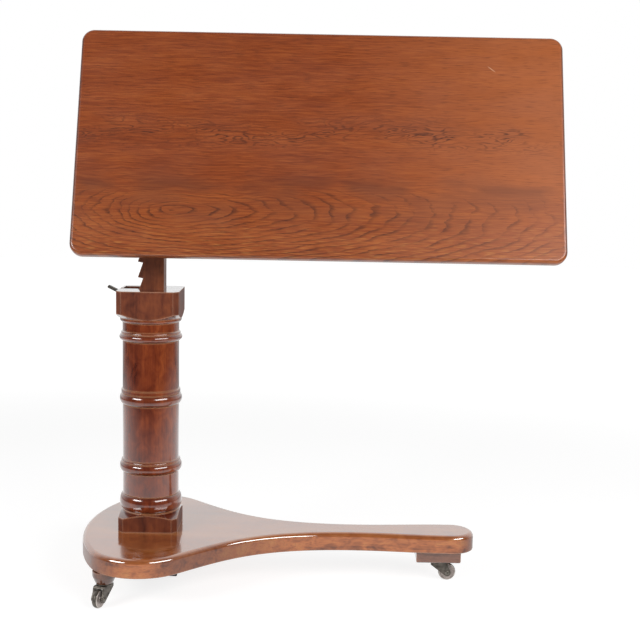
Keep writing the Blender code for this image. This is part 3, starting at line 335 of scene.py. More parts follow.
# The batten: a dark unpolished board across the underside of the platform's broad end, below the
# pillar; its near-black colour is also painted shade, for the shadow under the platform. The pillar's four
# long screws pass up through it, so it keeps the platform flat.
PLINTH_SCREWS = [(x, y) for x in (-33, 33) for y in (-33, 33)]
BLOCK_DEPTH = 50
BLOCK_THICK = 19.7


def cut(piece, tool, how="DIFFERENCE"):
    """Cut a piece with a tool body, which is then thrown away."""
    saw = piece.modifiers.new("cut", "BOOLEAN")
    saw.operation = how
    saw.solver = "MANIFOLD"
    saw.object = tool
    bpy.context.view_layer.objects.active = piece
    bpy.ops.object.modifier_apply(modifier=saw.name)
    bpy.data.objects.remove(tool)


def turned(name, profile, steps, place=Matrix(), ring=False):
    """A piece from the lathe: radius and height in millimetres spun round Z, then set in place."""
    bpy.ops.object.select_all(action="DESELECT")
    bpy.ops.mesh.primitive_circle_add(vertices=len(profile), fill_type="NOTHING")
    piece = bpy.context.object
    piece.name = piece.data.name = name
    for corner, (radius, height) in zip(piece.data.vertices, metres(profile)):
        corner.co = (radius, 0, height)
    bpy.ops.object.mode_set(mode="EDIT")
    bpy.ops.mesh.select_mode(type="EDGE")
    if not ring:
        bpy.ops.mesh.select_all(action="DESELECT")
        bm = bmesh.from_edit_mesh(piece.data)
        for edge in bm.edges:
            edge.select_set(all(vert.co.x < 1e-7 for vert in edge.verts))
        bmesh.update_edit_mesh(piece.data)
        bpy.ops.mesh.delete(type="EDGE")
    bpy.ops.mesh.select_all(action="SELECT")
    bpy.ops.mesh.spin(steps=steps, angle=math.tau, center=(0, 0, 0), axis=(0, 0, 1))
    bpy.ops.mesh.select_all(action="SELECT")
    bpy.ops.mesh.remove_doubles(threshold=1e-6)
    bpy.ops.mesh.normals_make_consistent(inside=False)
    bpy.ops.object.mode_set(mode="OBJECT")
    piece.data.transform(place)
    return piece


def drill(piece, radius, low, high, place=Matrix(), steps=32):
    """Bore a round hole along Z of its place, its sizes in millimetres."""
    cut(piece, turned("drill", [(0, low), (radius, low), (radius, high), (0, high)], steps, place))


def box(left, right, front, back):
    """A rectangle's corners."""
    return [(left, front), (right, front), (right, back), (left, back)]


def unpolished_board(name):
    """Oiled dark hardwood left from the saw and plane, dull and streaked along the grain. Its nearly black
    brown is also painted shade.

    Saw marks 3 mm apart lie across it, and dust has settled in them as a grey bloom."""
    made, tree, shader = new_finish(name)
    place = add(tree, "TexCoord", out="Object")
    board = add(tree, "Mapping", {"Vector": place, "Scale": (1 / 0.0022, 1 / 0.06, 1 / 0.0022)})
    streaks = add(tree, "TexNoise", {"Vector": board, "Scale": 1.0, "Detail": 2})
    bloom = add(tree, "TexNoise", {"Vector": place, "Scale": 1 / 0.03, "Detail": 3})
    wood = add(tree, "ValToRGB", {0: streaks}, [(0.35, paint("#1C110D")), (0.65, paint("#3A241B"))])
    grey = add(tree, "MapRange", {"Value": bloom, "From Min": 0.5, "From Max": 0.8, "To Max": 0.3})
    wood = add(tree, "Mix", {0: grey, 6: wood, 7: paint("#5E5148")}, data_type="RGBA", out=2)
    tree.links.new(wood, shader.inputs["Base Color"])
    rough = add(tree, "MapRange", {"Value": bloom, "To Min": 0.55, "To Max": 0.85})
    tree.links.new(rough, shader.inputs["Roughness"])
    # A wave repeats every 0.314 / scale.
    marks = add(tree, "TexWave", {"Vector": place, "Scale": 0.314 / 0.003, "Distortion": 1.5,
                                  "Detail": 1}, bands_direction="Y", out=1)
    relief = add(tree, "Mix", {0: 0.4, 2: streaks, 3: marks})
    bump = add(tree, "Bump", {"Height": relief, "Strength": 0.4, "Distance": 0.0004})
    tree.links.new(bump, shader.inputs["Normal"])
    return made


batten = saw_out("cross_batten", box(-57, 57, -113, 113), BLOCK_THICK, STAND @ at(0, 0, -BLOCK_DEPTH))
round_edges(batten, min, 2, 3)
for x, y in PLINTH_SCREWS:
    drill(batten, 5.8, -55, -42.7, STAND @ at(x, y, 0))
fit(batten, unpolished_board("bare_hardwood_painted_shade"), "stand", "dark_board", "base_batten")

# The castor blocks: two turned mahogany pads under the corners of the broad end and a sawn block under
# the arm, glued to the platform and bored for the castors' stems. They bring the platform up level.
CASTORS = {"front": (-53, -144), "rear": (-53, 144), "arm": (482, 0)}


def another(model, name, place):
    """A copy of a model with its own mesh, set in its place."""
    bpy.ops.object.select_all(action="DESELECT")
    model.select_set(True)
    bpy.context.view_layer.objects.active = model
    bpy.ops.object.duplicate(linked=False)
    copy = bpy.context.object
    copy.name = copy.data.name = name
    copy.data.transform(place)
    return copy


pad_polish = polished_mahogany("block_polish", (0, 0, 0), "#562C1C", "#80503A", "#9A684E",
                               "#B88870", mottle=0.3, stain=0.1, gloss=0.12, film=0.8)
pad = turned("turned_pad", [(0, 36), (13.2, 36), (14, 36.6), (15.6, 40), (18.2, 45.8), (19, 48.4), (19, 55),
                            (18.4, 55.7), (0, 55.7)], 48)
drill(pad, 4.8, 30, 60)
for name in ("front", "rear"):
    glued = another(pad, "turned_pad_" + name, FOOT @ at(*CASTORS[name], 0))
    fit(glued, pad_polish, "stand", "mahogany", "castor_block_" + name)
bpy.data.objects.remove(pad)

arm_block = saw_out("arm_block", box(445, 519, -26, 26), BLOCK_THICK, STAND @ at(0, 0, -BLOCK_DEPTH))
round_edges(arm_block, min, 4, 5)
drill(arm_block, 4.8, 30, 60, FOOT @ at(*CASTORS["arm"], 0))
fit(arm_block, pad_polish, "stand", "mahogany", "castor_block_arm")

# The castors: a cast iron horn on a riveted stem whose flange lies under each block, and a small iron
# wheel on a steel axle. Years of rolling have scraped the wheels' rims bright and left the treads dark; the
# rims' pale colour is also a painted highlight.
AXIS_X = Matrix(((0, 0, 1, 0), (1, 0, 0, 0), (0, 1, 0, 0), (0, 0, 0, 1)))
AXIS_Y = AXIS_X @ AXIS_X
EDGEWAYS = Matrix.Rotation(math.pi / 2, 4, "X")
WHEEL_TRAIL = 17
WHEEL_RADIUS = 14.5
AXLE = at(WHEEL_TRAIL, 0, WHEEL_RADIUS) @ AXIS_Y
RIM_FROM = 12.4
TREAD_FROM = 13.7


def aged_metal(name, base, tarnish, rough, grit, bare=1.0):
    """Old metal: a base colour under patches of tarnish 6 mm across, with a fine pitted surface.

    The patches are duller than the metal between them, and where less than all of it is bare, dust and
    old oil dull the whole. Real casting grit is about 0.3 mm; it is drawn coarser to show."""
    made, tree, shader = new_finish(name)
    place = add(tree, "TexCoord", out="Object")
    patches = add(tree, "TexNoise", {"Vector": place, "Scale": 1 / 0.006, "Detail": 4})
    pits = add(tree, "TexNoise", {"Vector": place, "Scale": 1 / grit, "Detail": 2})
    cover = add(tree, "MapRange", {"Value": patches, "From Min": 0.38, "From Max": 0.68})
    colour = add(tree, "Mix", {0: cover, 6: paint(base), 7: paint(tarnish)}, data_type="RGBA", out=2)
    tree.links.new(colour, shader.inputs["Base Color"])
    dull = add(tree, "MapRange", {"Value": cover, "To Min": rough - 0.1, "To Max": rough + 0.15})
    tree.links.new(dull, shader.inputs["Roughness"])
    bump = add(tree, "Bump", {"Height": pits, "Strength": 0.35, "Distance": 0.0003})
    tree.links.new(bump, shader.inputs["Normal"])
    shader.inputs["Metallic"].default_value = bare
    return made


def ease(piece, width, segments=2, angle=35):
    """Take the sharp edge off every corner of a piece."""
    worn = piece.modifiers.new("eased_edges", "BEVEL")
    worn.width = width / 1000
    worn.segments = segments
    worn.limit_method = "ANGLE"
    worn.angle_limit = math.radians(angle)
    bpy.context.view_layer.objects.active = piece
    bpy.ops.object.modifier_apply(modifier=worn.name)


wheel_iron = aged_metal("worn_wheel_iron", "#B2A6A0", "#8E847E", 0.40, 0.0012, 0.5)
cast_iron = aged_metal("blackened_cast_iron", "#6E675F", "#46413B", 0.42, 0.0012, 0.6)
rim_highlight_iron = aged_metal("scraped_rim_iron_painted_highlight", "#D2CAC2", "#A89E96", 0.34, 0.0009, 0.6)
steel = aged_metal("dull_steel", "#8C8880", "#5A554D", 0.42, 0.0008)

socket = turned("castor_stem", [(0, 28.4), (4.4, 28.4), (5, 28.9), (5, 30.1), (3, 30.1), (3, 33.7),
                                (12.5, 33.7), (13, 34.2), (13, 35.2), (12.5, 35.7), (4.5, 35.7),
                                (4.5, 61.2), (4, 61.7), (0, 61.7)], 40)
channel = [(-10, 33.4), (-10, 0), (-7, 0), (-7, 30.4), (7, 30.4), (7, 0), (10, 0), (10, 33.4)]
horn = saw_out("castor_horn", channel, 60, AXIS_X @ at(0, 0, -20))
cheek = [(-11, 40), (-11, 28.4)] + sweep((WHEEL_TRAIL, WHEEL_RADIUS), 6, 230, 380, 20)
cheek += [(18.6, 24), (17.6, 29.5), (17, 31.4), (15.4, 33.0), (14.8, 40)]
cut(horn, saw_out("side", cheek, 40, at(0, 20, 0) @ EDGEWAYS), "INTERSECT")
ease(horn, 0.6)
drill(horn, 3.3, 20, 40)
drill(horn, 2.6, -15, 15, AXLE)
rim = [(2.6, 5), (2.6, -5), (4.8, -5), (5.1, -4.7), (5.6, -4.1), (6.2, -4), (11.2, -4), (11.8, -4.4),
       (12.6, -4.4), (13.3, -4.0)]
rim += [(WHEEL_RADIUS - 0.9 * (h / 3.6)**2, h) for h in (-3.6, -3, -2.2, -1.2)] + [(WHEEL_RADIUS, 0)]
wheel = turned("castor_wheel", rim + [(r, -h) for r, h in rim[-2:1:-1]], 64, AXLE, ring=True)
spots = [face.center * 1000 for face in wheel.data.polygons]
away = [math.hypot(spot.x - WHEEL_TRAIL, spot.z - WHEEL_RADIUS) for spot in spots]
# Faces past RIM_FROM get the pale rim iron, which is scraped wear and also a painted highlight; faces past
# TREAD_FROM get the dark tread iron.
rim_highlight_and_tread = [int(far > RIM_FROM) + int(far > TREAD_FROM) for far in away]
axle = turned("castor_axle", [(0, -11.8), (1.6, -11.6), (2.7, -11.1), (3.4, -10.4), (3.5, -10.3),
                              (2.3, -10.3), (2.3, 10.3), (3.5, 10.3), (3.4, 10.4), (2.7, 11.1),
                              (1.6, 11.6), (0, 11.8)], 32, AXLE)
for name, heading in (("front", 248), ("rear", 215), ("arm", 0)):
    place = FOOT @ at(*CASTORS[name], 0) @ Matrix.Rotation(math.radians(heading), 4, "Z")
    fit(another(socket, "iron_stem_" + name, place), cast_iron, "stand", "iron", "castor_socket_" + name)
    fit(another(horn, "iron_horn_" + name, place), cast_iron, "swivel_" + name, "iron", "castor_horn_" + name)
    fit(another(axle, "rivet_axle_" + name, place), steel, "swivel_" + name, "steel", "castor_axle_" + name)
    rolling = another(wheel, "iron_wheel_" + name, place)
    fit(rolling, [wheel_iron, rim_highlight_iron, cast_iron], "wheel_" + name, "wheel_iron", "castor_wheel_" + name)
    rolling.data.polygons.foreach_set("material_index", rim_highlight_and_tread)
for model in (socket, horn, wheel, axle):
    bpy.data.objects.remove(model)

# The pillar: one mahogany billet turned between a square plinth and a square collar. Its straight shaft
# has a foot bead, two reeded rings and a half-round ring with a fillet. It is mortised right through for
# the post, and its collar is slotted and hollowed for the catch.
SHAFT = 46.2
CORNER_CUT = 8.5
ARRIS = 1.5
CATCH_FLOOR = 384.7


def half_round(height, half, radius):
    """A half-round ring on the shaft from its foot up, with a fine quirk cut on each side."""
    turns = [math.pi * i / 18 for i in range(1, 18)]
    ring = [(SHAFT + (radius - SHAFT) * math.sin(a), height - half * math.cos(a)) for a in turns]
    return [(SHAFT, height - half - 1.2), (SHAFT - 0.7, height - half - 0.5)] + ring + [
        (SHAFT - 0.7, height + half + 0.5), (SHAFT, height + half + 1.2)]


def reeded_ring(height, half):
    """A half-round ring with a fine reed close above it."""
    reed = sweep((SHAFT + 0.2, height + half + 1.3), 2.3, -52, 80, 8)
    return half_round(height, half, 51.3)[:-2] + reed + [(SHAFT, height + half + 4.2)]


def chamfered_square(half):
    """A square with its corners planed off and every arris rounded."""
    outline = []
    for turn in range(0, 360, 45):
        near = (half, half - CORNER_CUT) if turn % 90 == 0 else (half - CORNER_CUT, half)
        spot = Matrix.Rotation(math.radians(turn - turn % 90), 2) @ Vector(near)
        middle = math.radians(turn + 22.5)
        inward = Vector((math.cos(middle), math.sin(middle))) * ARRIS / math.cos(math.radians(22.5))
        outline += sweep(spot - inward, ARRIS, turn, turn + 45, 3)
    return outline


def shouldered(name, half, low, high, blank):
    """A chamfered square block whose end was turned down to a sloping shoulder, with its arrises eased."""
    block = saw_out(name, chamfered_square(half), high - low, STAND @ at(0, 0, low))
    cut(block, turned("shoulder", blank, 128, STAND), "INTERSECT")
    ease(block, 1.1, 3)
    return block


shape = [(0, 10), (45.8, 10)] + half_round(45.0, 12.6, 51.4) + reeded_ring(104.5, 8.3)
shape += half_round(218.2, 8.7, 50.9)[:-2]
shape += [(48.0, 227.3), (48.3, 227.7), (48.3, 233.2), (47.9, 233.8), (SHAFT, 234.4)]
shape += reeded_ring(320.6, 5.8) + sweep((46.0, 349.4), 4.3, -87, 0, 9) + [(50.3, 358), (0, 358)]
pillar = turned("turned_pillar", shape, 128, STAND)
plinth = [(0, -1), (70, -1), (70, 20.4), (48.8, 28.4), (48.0, 29.2), (46.9, 29.6), (0, 29.6)]
cut(pillar, shouldered("plinth", 48.5, 0, 40, plinth), "UNION")
collar = [(0, 350.6), (48.4, 350.6), (70, 363.2), (70, 410), (0, 410)]
cut(pillar, shouldered("collar", 50.5, 340, 398.4, collar), "UNION")
for name, hollow, depth, floor_at in (("mortise", box(-19.4, 23.7, -16.4, 16.4), 420, -10),
                                      ("slot", box(-60, -11, -5, 5), 30, CATCH_FLOOR),
                                      ("well", box(-46, -19, 0, 32), 30, CATCH_FLOOR),
                                      ("pocket", box(-46, -28.5, -5, 5), 16, 372)):
    cut(pillar, saw_out(name, hollow, depth, STAND @ at(0, 0, floor_at)))
PIN = STAND @ at(-38, 0, 388.6) @ AXIS_Y
drill(pillar, 1.8, -20.3, 60, PIN, 16)
# The turned parts keep their polish. The square faces are scuffed by hands and cloths, and nearly dull.
pillar_polish = polished_mahogany("pillar_french_polish", (0, math.pi / 2, 0), "#561F10", "#7C3518",
                                  "#98481E", "#C08860", mottle=0.4, stain=0.3, gloss=0.08, film=1.0)
square_polish = polished_mahogany("scuffed_square_polish", (0, math.pi / 2, 0), "#4A2014", "#6C341E",
                                  "#844424", "#C09478", mottle=0.4, stain=0.3, gloss=0.4, film=0.1)
square_polish.node_tree.nodes["Principled BSDF"].inputs["Specular IOR Level"].default_value = 0.25
fit(pillar, [pillar_polish, square_polish], "stand", "mahogany", "pillar")
for face in pillar.data.polygons:
    level = face.center.z * 1000 - PLATFORM_HEIGHT
    turned_part = 26.5 < level < 352
    face.material_index = int(abs(face.normal.z) < 0.2 and not turned_part)

# The pillar's screws: four long slotted steel screws driven up through batten and platform into the
# plinth, with their heads sunk in the batten.
def slotted_screw(name, shank, length, head, thick):
    """A countersunk screw along Z with a sawn slot in its head, its sizes in millimetres."""
    screw = turned(name, [(0, 0), (head * 0.96, 0), (head, thick * 0.12), (shank, thick),
                          (shank, length * 0.9), (0, length)], 32)
    slot = box(-head - 1, head + 1, -head * 0.11, head * 0.11)
    cut(screw, saw_out("slot", slot, 0.5 + thick * 0.3, at(0, 0, -0.5)))
    return screw


long_screw = slotted_screw("long_screw", 3, 66, 5.5, 3)
for number, (x, y) in enumerate(PLINTH_SCREWS, 1):
    turn = Matrix.Rotation(math.radians(37 * number), 4, "Z")
    driven = another(long_screw, f"long_screw_{number}", STAND @ at(x, y, -46) @ turn)
    fit(driven, steel, "stand", "steel", f"pillar_screw_{number}")
bpy.data.objects.remove(long_screw)

# The height catch: a flat forged iron bar that slides in a slot in the collar's top. Its nose holds a
# tooth of the post, and its tail is bent up past the edge for a finger to pull.
CATCH_TOP = 392.25
CATCH_UNDER = 385
slope = math.radians(26)
rise = Vector((math.sin(slope), math.cos(slope))) * 2.25
tip = Vector((-69, 401))
upper_bend = tip.x + rise.x + (tip.y + rise.y - CATCH_TOP) / math.tan(slope)
lower_bend = tip.x - rise.x + (tip.y - rise.y - CATCH_UNDER) / math.tan(slope)
past = Vector((-rise.y, rise.x)) * 0.6
rounded = [math.radians(a) for a in range(30, 180, 30)]
bar = [(-12, 390.9), (-19, CATCH_TOP), (upper_bend, CATCH_TOP), tuple(tip + rise)]
bar += [tuple(tip + rise * math.cos(a) + past * math.sin(a)) for a in rounded]
bar += [tuple(tip - rise), (lower_bend, CATCH_UNDER), (-33, CATCH_UNDER), (-33, 373), (-29, 373),
        (-29, CATCH_UNDER), (-15.5, CATCH_UNDER)]
catch = saw_out("forged_catch", bar, 9, STAND @ at(0, 4.5, 0) @ EDGEWAYS)
ease(catch, 0.7, 2, 20)
slit = sweep((-38, 388.6), 1.8, 90, 270, 10) + sweep((-29, 388.6), 1.8, -90, 90, 10)
cut(catch, saw_out("slit", slit, 20, STAND @ at(0, 10, 0) @ EDGEWAYS))
fit(catch, cast_iron, "catch", "iron", "height_catch")
pin = turned("catch_pin_rod", [(0, -20), (1.2, -20), (1.5, -19.7), (1.5, 49.2), (1.2, 49.5), (0, 49.5)],
             24, PIN)
fit(pin, steel, "stand", "steel", "catch_pin")

# The ratchet post: a flat mahogany bar that slides in the pillar, sawn down its left side with a row of
# teeth one inch apart. A tenon on its upper end goes up into the head block.
TOOTH_PITCH = 25.4
TOOTH_EDGE = -19
TOOTH_ROOT = -11
HELD_TOOTH = 392.7
POST_RIGHT = 23.3
POST_FOOT = 85
POST_TOP = 554.7
teeth = [(POST_RIGHT, POST_FOOT), (POST_RIGHT, POST_TOP), (TOOTH_EDGE, POST_TOP)]
for step in range(4, -10, -1):
    tooth = HELD_TOOTH + TOOTH_PITCH * step
    teeth += [(TOOTH_EDGE, tooth), (TOOTH_ROOT, tooth - 1.5)]
    if step > -9:
        teeth.append((TOOTH_EDGE, tooth - 24.4))
teeth += [(TOOTH_EDGE, teeth[-1][1] - TOOTH_PITCH), (TOOTH_EDGE, POST_FOOT)]
post = saw_out("toothed_post", teeth, 32, STAND @ at(0, 16, 0) @ EDGEWAYS)
ease(post, 0.5, 2, 20)
cut(post, saw_out("tenon", box(-11, 21.3, -12, 12), 54, STAND @ at(0, 0, 550)), "UNION")
plain_polish = polished_mahogany("plain_mahogany_polish", (0, math.pi / 2, 0), "#4A2010", "#72381C",
                                 "#8C4A26", "#A06A48", mottle=0.3, stain=0.3, gloss=0.35, film=0.1)
fit(post, plain_polish, "post", "mahogany", "ratchet_post")

# The head block: a mahogany block rounded at its upper front, mortised over the post's tenon and held by a
# wooden dowel right through both. The hinge rod and the spring bolt run through it from side to side.
HINGE = FOOT @ at(0, 0, 706)
BOLT_BACK = 25
BOLT_DOWN = 36
BOLT_LINE = HINGE @ at(0, BOLT_BACK, -BOLT_DOWN) @ AXIS_X
DOWEL = HINGE @ at(6.15, 0, -54) @ AXIS_Y
head_shape = [(-30, -65)] + sweep((0, 0), 30, 180, 90, 24) + [(38, 30), (38, -65)]
head = saw_out("hinge_head", head_shape, 80, HINGE @ at(-38, 0, 0) @ AXIS_X)
ease(head, 0.8, 3)
drill(head, 6.3, -50, 50, HINGE @ AXIS_X, 40)
cut(head, saw_out("mortise", box(-11.3, 21.6, -12.3, 12.3), 54.3, HINGE @ at(0, 0, -70)))
drill(head, 4.3, -40, 45, DOWEL)
drill(head, 4.3, -45, 45, BOLT_LINE)
drill(head, 7.3, 12, 45, BOLT_LINE)
cut(head, saw_out("recess", box(-11.8, 11.8, -13.3, 13.3), 10, BOLT_LINE @ at(0, 0, 39.7)))
fit(head, plain_polish, "post", "mahogany", "head_block")
dowel = turned("cross_dowel", [(0, -30), (3.6, -30), (4, -29.6), (4, 37.6), (3.6, 38), (0, 38)], 32, DOWEL)
fit(dowel, pad_polish, "post", "mahogany", "head_dowel")

# The hinge: an iron rod with a forged head, passed through both bearers and the head block and closed
# with a washer and a six-sided nut, so that the top turns on it.
rod = turned("hinge_rod", [(0, -65.8), (7.5, -65.7), (9, -65.2), (9.8, -64.2), (10, -63), (10, -61.2),
                           (9.6, -60.8), (6, -60.8), (6, 82), (5.2, 82.8), (0, 82.8)], 48, HINGE @ AXIS_X)
fit(rod, cast_iron, "post", "iron", "pivot_rod")
washer = turned("hinge_washer", [(6.3, 71.5), (6.3, 70.1), (10.7, 70.1), (11, 70.4), (11, 71.2),
                                 (10.7, 71.5)], 48, HINGE @ AXIS_X, ring=True)
fit(washer, steel, "post", "steel", "pivot_washer")
hexagon = sweep((0, 0), 19 / math.sqrt(3), 0, 300, 5)
nut = saw_out("hinge_nut", hexagon, 7.7, HINGE @ AXIS_X @ at(0, 0, 71.8))
crown = [(0, 71), (11.1, 71), (11.1, 77.9), (9.4, 79.5), (0, 79.5)]
cut(nut, turned("crown", crown, 48, HINGE @ AXIS_X), "INTERSECT")
drill(nut, 6.3, 60, 90, HINGE @ AXIS_X, 40)
fit(nut, steel, "post", "steel", "pivot_nut")

# The tilt bolt: a steel bolt pushed by a spring out of the head block into a hole of the quadrant. A
# brass knob on its left end pulls it back, and a brass plate let into the block keeps it in.
bolt = turned("spring_bolt", [(0, -50.3), (4, -50.3), (4, 36.4), (6.7, 36.4), (7, 36.7), (7, 39.1),
                              (6.7, 39.4), (3.2, 39.4), (3.2, 46.2), (2.9, 46.8), (2.2, 47.2),
                              (0, 47.2)], 40, BOLT_LINE)
fit(bolt, steel, "bolt", "steel", "tilt_bolt")
brass = aged_metal("handled_brass", "#B58E4C", "#7A5A2C", 0.32, 0.0010)
ball = [(8.5 * math.sin(a), -48.2 - 6.1 * math.cos(a)) for a in [math.pi * i / 20 for i in range(1, 15)]]
neck = [(6.2, -43.6), (5.8, -42.6), (5.8, -40.6), (6.5, -40.3), (6.8, -39.9), (6.8, -38.6), (6.5, -38.3)]
knob = turned("brass_knob", [(0, -54.3)] + ball + neck + [(0, -38.3)], 48, BOLT_LINE)
drill(knob, 4.3, -50.6, -30, BOLT_LINE)
fit(knob, brass, "bolt", "brass", "bolt_knob")
PLATE_SCREWS = (-10, 10)
plate = saw_out("keeper_plate", box(-11.5, 11.5, -13, 13), 2, BOLT_LINE @ at(0, 0, 40))
ease(plate, 0.3)
drill(plate, 3.5, 35, 50, BOLT_LINE)
for y in PLATE_SCREWS:
    drill(plate, 2.4, 35, 50, BOLT_LINE @ at(0, y, 0))
fit(plate, brass, "post", "brass", "bolt_plate")
plate_screw = slotted_screw("plate_screw", 1.2, 10, 2.1, 1)
for number, y in enumerate(PLATE_SCREWS, 1):
    back = BOLT_LINE @ at(0, y, 41.7) @ Matrix.Rotation(math.pi, 4, "Y")
    driven = another(plate_screw, f"plate_screw_{number}", back)
    fit(driven, brass, "post", "brass", f"bolt_plate_screw_{number}")
bpy.data.objects.remove(plate_screw)

# The springs: one under the bolt's flange and one behind the catch's lug, each wound from steel wire. One
# end rests in the wood and the other against the piece.
# Their room comes from the frame, so their wire is in metres too.
for name, wire, turns, wood, moved in (("bolt_spring", 0.0012, 6, "post", "bolt"),
                                       ("catch_spring", 0.0008, 4, "stand", "catch")):
    low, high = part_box(name)
    middle = (Vector(low) + Vector(high)) / 2
    bpy.ops.object.select_all(action="DESELECT")
    bpy.ops.mesh.primitive_circle_add(vertices=12, radius=wire / 2)
    spring = bpy.context.object
    spring.name = spring.data.name = "wound_" + name
    reach = (high[2] - low[2] - wire) / 2
    spring.data.transform(Matrix.Translation((reach, 0, wire / 2)) @ Matrix.Rotation(math.pi / 2, 4, "X"))
    wound = spring.modifiers.new("wound", "SCREW")
    wound.screw_offset = (high[0] - low[0] - wire) / turns
    wound.iterations = turns
    wound.steps = wound.render_steps = 32
    bpy.ops.object.modifier_apply(modifier=wound.name)
    bpy.ops.object.mode_set(mode="EDIT")
    bpy.ops.mesh.select_all(action="SELECT")
    bpy.ops.mesh.fill_holes(sides=0)
    bpy.ops.mesh.select_all(action="SELECT")
    bpy.ops.mesh.normals_make_consistent(inside=False)
    bpy.ops.object.mode_set(mode="OBJECT")
    spring.data.transform(Matrix.Translation((low[0], middle.y, middle.z)) @ AXIS_X)
    bpy.ops.object.shade_smooth_by_angle(angle=math.radians(50))
    spring.data.materials.append(steel)
    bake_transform(spring)
    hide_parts(name)

# The top: one wide mahogany board 770 by 374 mm, 20 mm thick, with round corners and its edges rounded
# over. Its lower third is figured with arched growth rings; the rest is quiet, with a band of flecks.
TILT = 70.2
TILTED = HINGE @ Matrix.Rotation(math.radians(TILT), 4, "X")
TOP_LEFT = -112
TOP_RIGHT = 658
TOP_HALF = 187
TOP_UNDER = 33
TOP_THICK = 20
CORNER = 20
corners = [(TOP_RIGHT - CORNER, TOP_HALF - CORNER), (TOP_LEFT + CORNER, TOP_HALF - CORNER)]
outline = []
for quarter, centre in enumerate(corners + [(x, -y) for x, y in corners[::-1]]):
    outline += sweep(centre, CORNER, 90 * quarter, 90 * quarter + 90, 16)
top = saw_out("reading_top", outline, TOP_THICK, at(0, 0, TOP_UNDER))
round_edges(top, max, 6, 6)
round_edges(top, min, 6, 6)
top.data.transform(TILTED)
lower_left = (TILTED @ at(TOP_LEFT, -TOP_HALF, TOP_UNDER + TOP_THICK)).translation

# Figured mahogany, oiled and waxed over shellac: orange brown, half glossy. The board's own place is
# measured from its lower left corner, X to the right and Y up the slope.
figured, tree, shader = new_finish("figured_mahogany_top")
place = add(tree, "TexCoord", out="Object")
board = add(tree, "Mapping", {"Vector": place, "Location": lower_left,
                              "Rotation": (math.radians(TILT), 0, 0)}, vector_type="TEXTURE")
# Growth wandered, so every line drifts by a few millimetres over a hand's length.
drift = add(tree, "Mapping", {"Vector": board, "Scale": (1 / 0.09, 1 / 0.026, 1)})
drift = add(tree, "TexNoise", {"Vector": drift, "Scale": 1.0, "Detail": 4, "Roughness": 0.52}, out=1)
drift = add(tree, "VectorMath", {0: drift, 1: (0.5, 0.5, 0.5)}, operation="SUBTRACT")
grown = add(tree, "VectorMath", {0: drift, 1: (0.055, 0.014, 0), 2: board}, operation="MULTIPLY_ADD")
# Bands, streaks, dashes, pores and patches have a real length along the grain and width across it, here in
# metres. Pores are really 0.3 mm wide; they are drawn at 1.2 mm to show.
layers = {}
for what, source, along, across, detail in (
        ("band", board, 0.45, 0.034, 2), ("streak", grown, 0.05, 0.0024, 3),
        ("dash", board, 0.022, 0.0014, 1), ("pore", grown, 0.009, 0.0012, 1),
        ("uneven", board, 0.07, 0.016, 2), ("wave", grown, 0.060, 0.012, 1),
        ("patch", board, 0.10, 0.04, 2)):
    sized = add(tree, "Mapping", {"Vector": source, "Scale": (1 / along, 1 / across, 1 / across)})
    layers[what] = add(tree, "TexNoise", {"Vector": sized, "Scale": 1.0, "Detail": detail})
# Zones up the board: red is the figured lower third, blue the dark growth along its upper edge, and green
# the band of small flecks 200 mm up.
height = add(tree, "SeparateXYZ", {0: grown}, out="Y")
height = add(tree, "MapRange", {"Value": height, "From Max": TOP_HALF / 500})
zones = add(tree, "ValToRGB", {0: height}, [
    (0.10, (1, 0, 0, 1)), (0.20, (1, 0, 0.5, 1)), (0.27, (0.8, 0, 0.6, 1)), (0.31, (0.25, 0, 1, 1)),
    (0.36, (0, 0, 0.3, 1)), (0.46, (0, 0, 0, 1)), (0.51, (0, 0.8, 0, 1)), (0.54, (0, 1, 0, 1)),
    (0.59, (0, 0.5, 0, 1)), (0.65, (0, 0, 0, 1))])
zones = add(tree, "SeparateColor", {0: zones}, out=None)
# Growth rings met at a slant make long ovals about one eye: 6.2 mm apart up and down the board, 17 mm apart
# to the left of the eye and 31 mm apart to the right, where they end in arches.
eye = add(tree, "VectorMath", {0: grown, 1: (0.158, 0.074, 0)}, operation="SUBTRACT")
eye = add(tree, "SeparateXYZ", {0: eye}, out=None)
right = add(tree, "Math", {0: eye["X"], 1: 1 / 0.031}, operation="MULTIPLY")
left = add(tree, "Math", {0: eye["X"], 1: -1 / 0.017}, operation="MULTIPLY")
side = add(tree, "Math", {0: left, 1: right}, operation="MAXIMUM")
rise = add(tree, "Math", {0: eye["Y"], 1: 1 / 0.0062}, operation="MULTIPLY")
rings = add(tree, "CombineXYZ", {0: side, 1: rise})
rings = add(tree, "VectorMath", {0: rings}, operation="LENGTH", out="Value")
rings = add(tree, "Math", {0: rings}, operation="FRACT")
rings = add(tree, "ValToRGB", {0: rings}, [(0.0, (1, 1, 1, 1)), (0.12, (0.7, 0.7, 0.7, 1)),
                                           (0.34, (0.05, 0.05, 0.05, 1)), (0.92, (0, 0, 0, 1)),
                                           (1.0, (1, 1, 1, 1))])
broken = add(tree, "MapRange", {"Value": layers["uneven"], "From Min": 0.36, "From Max": 0.58,
                                "To Min": 0.3})
rings = add(tree, "Math", {0: rings, 1: broken}, operation="MULTIPLY")
rings = add(tree, "Math", {0: rings, 1: zones["Red"]}, operation="MULTIPLY")
fainter = add(tree, "MapRange", {"Value": eye["X"], "From Min": 0.3, "From Max": 0.6, "To Min": 1.0,
                                 "To Max": 0.6})
rings = add(tree, "Math", {0: rings, 1: fainter}, operation="MULTIPLY")
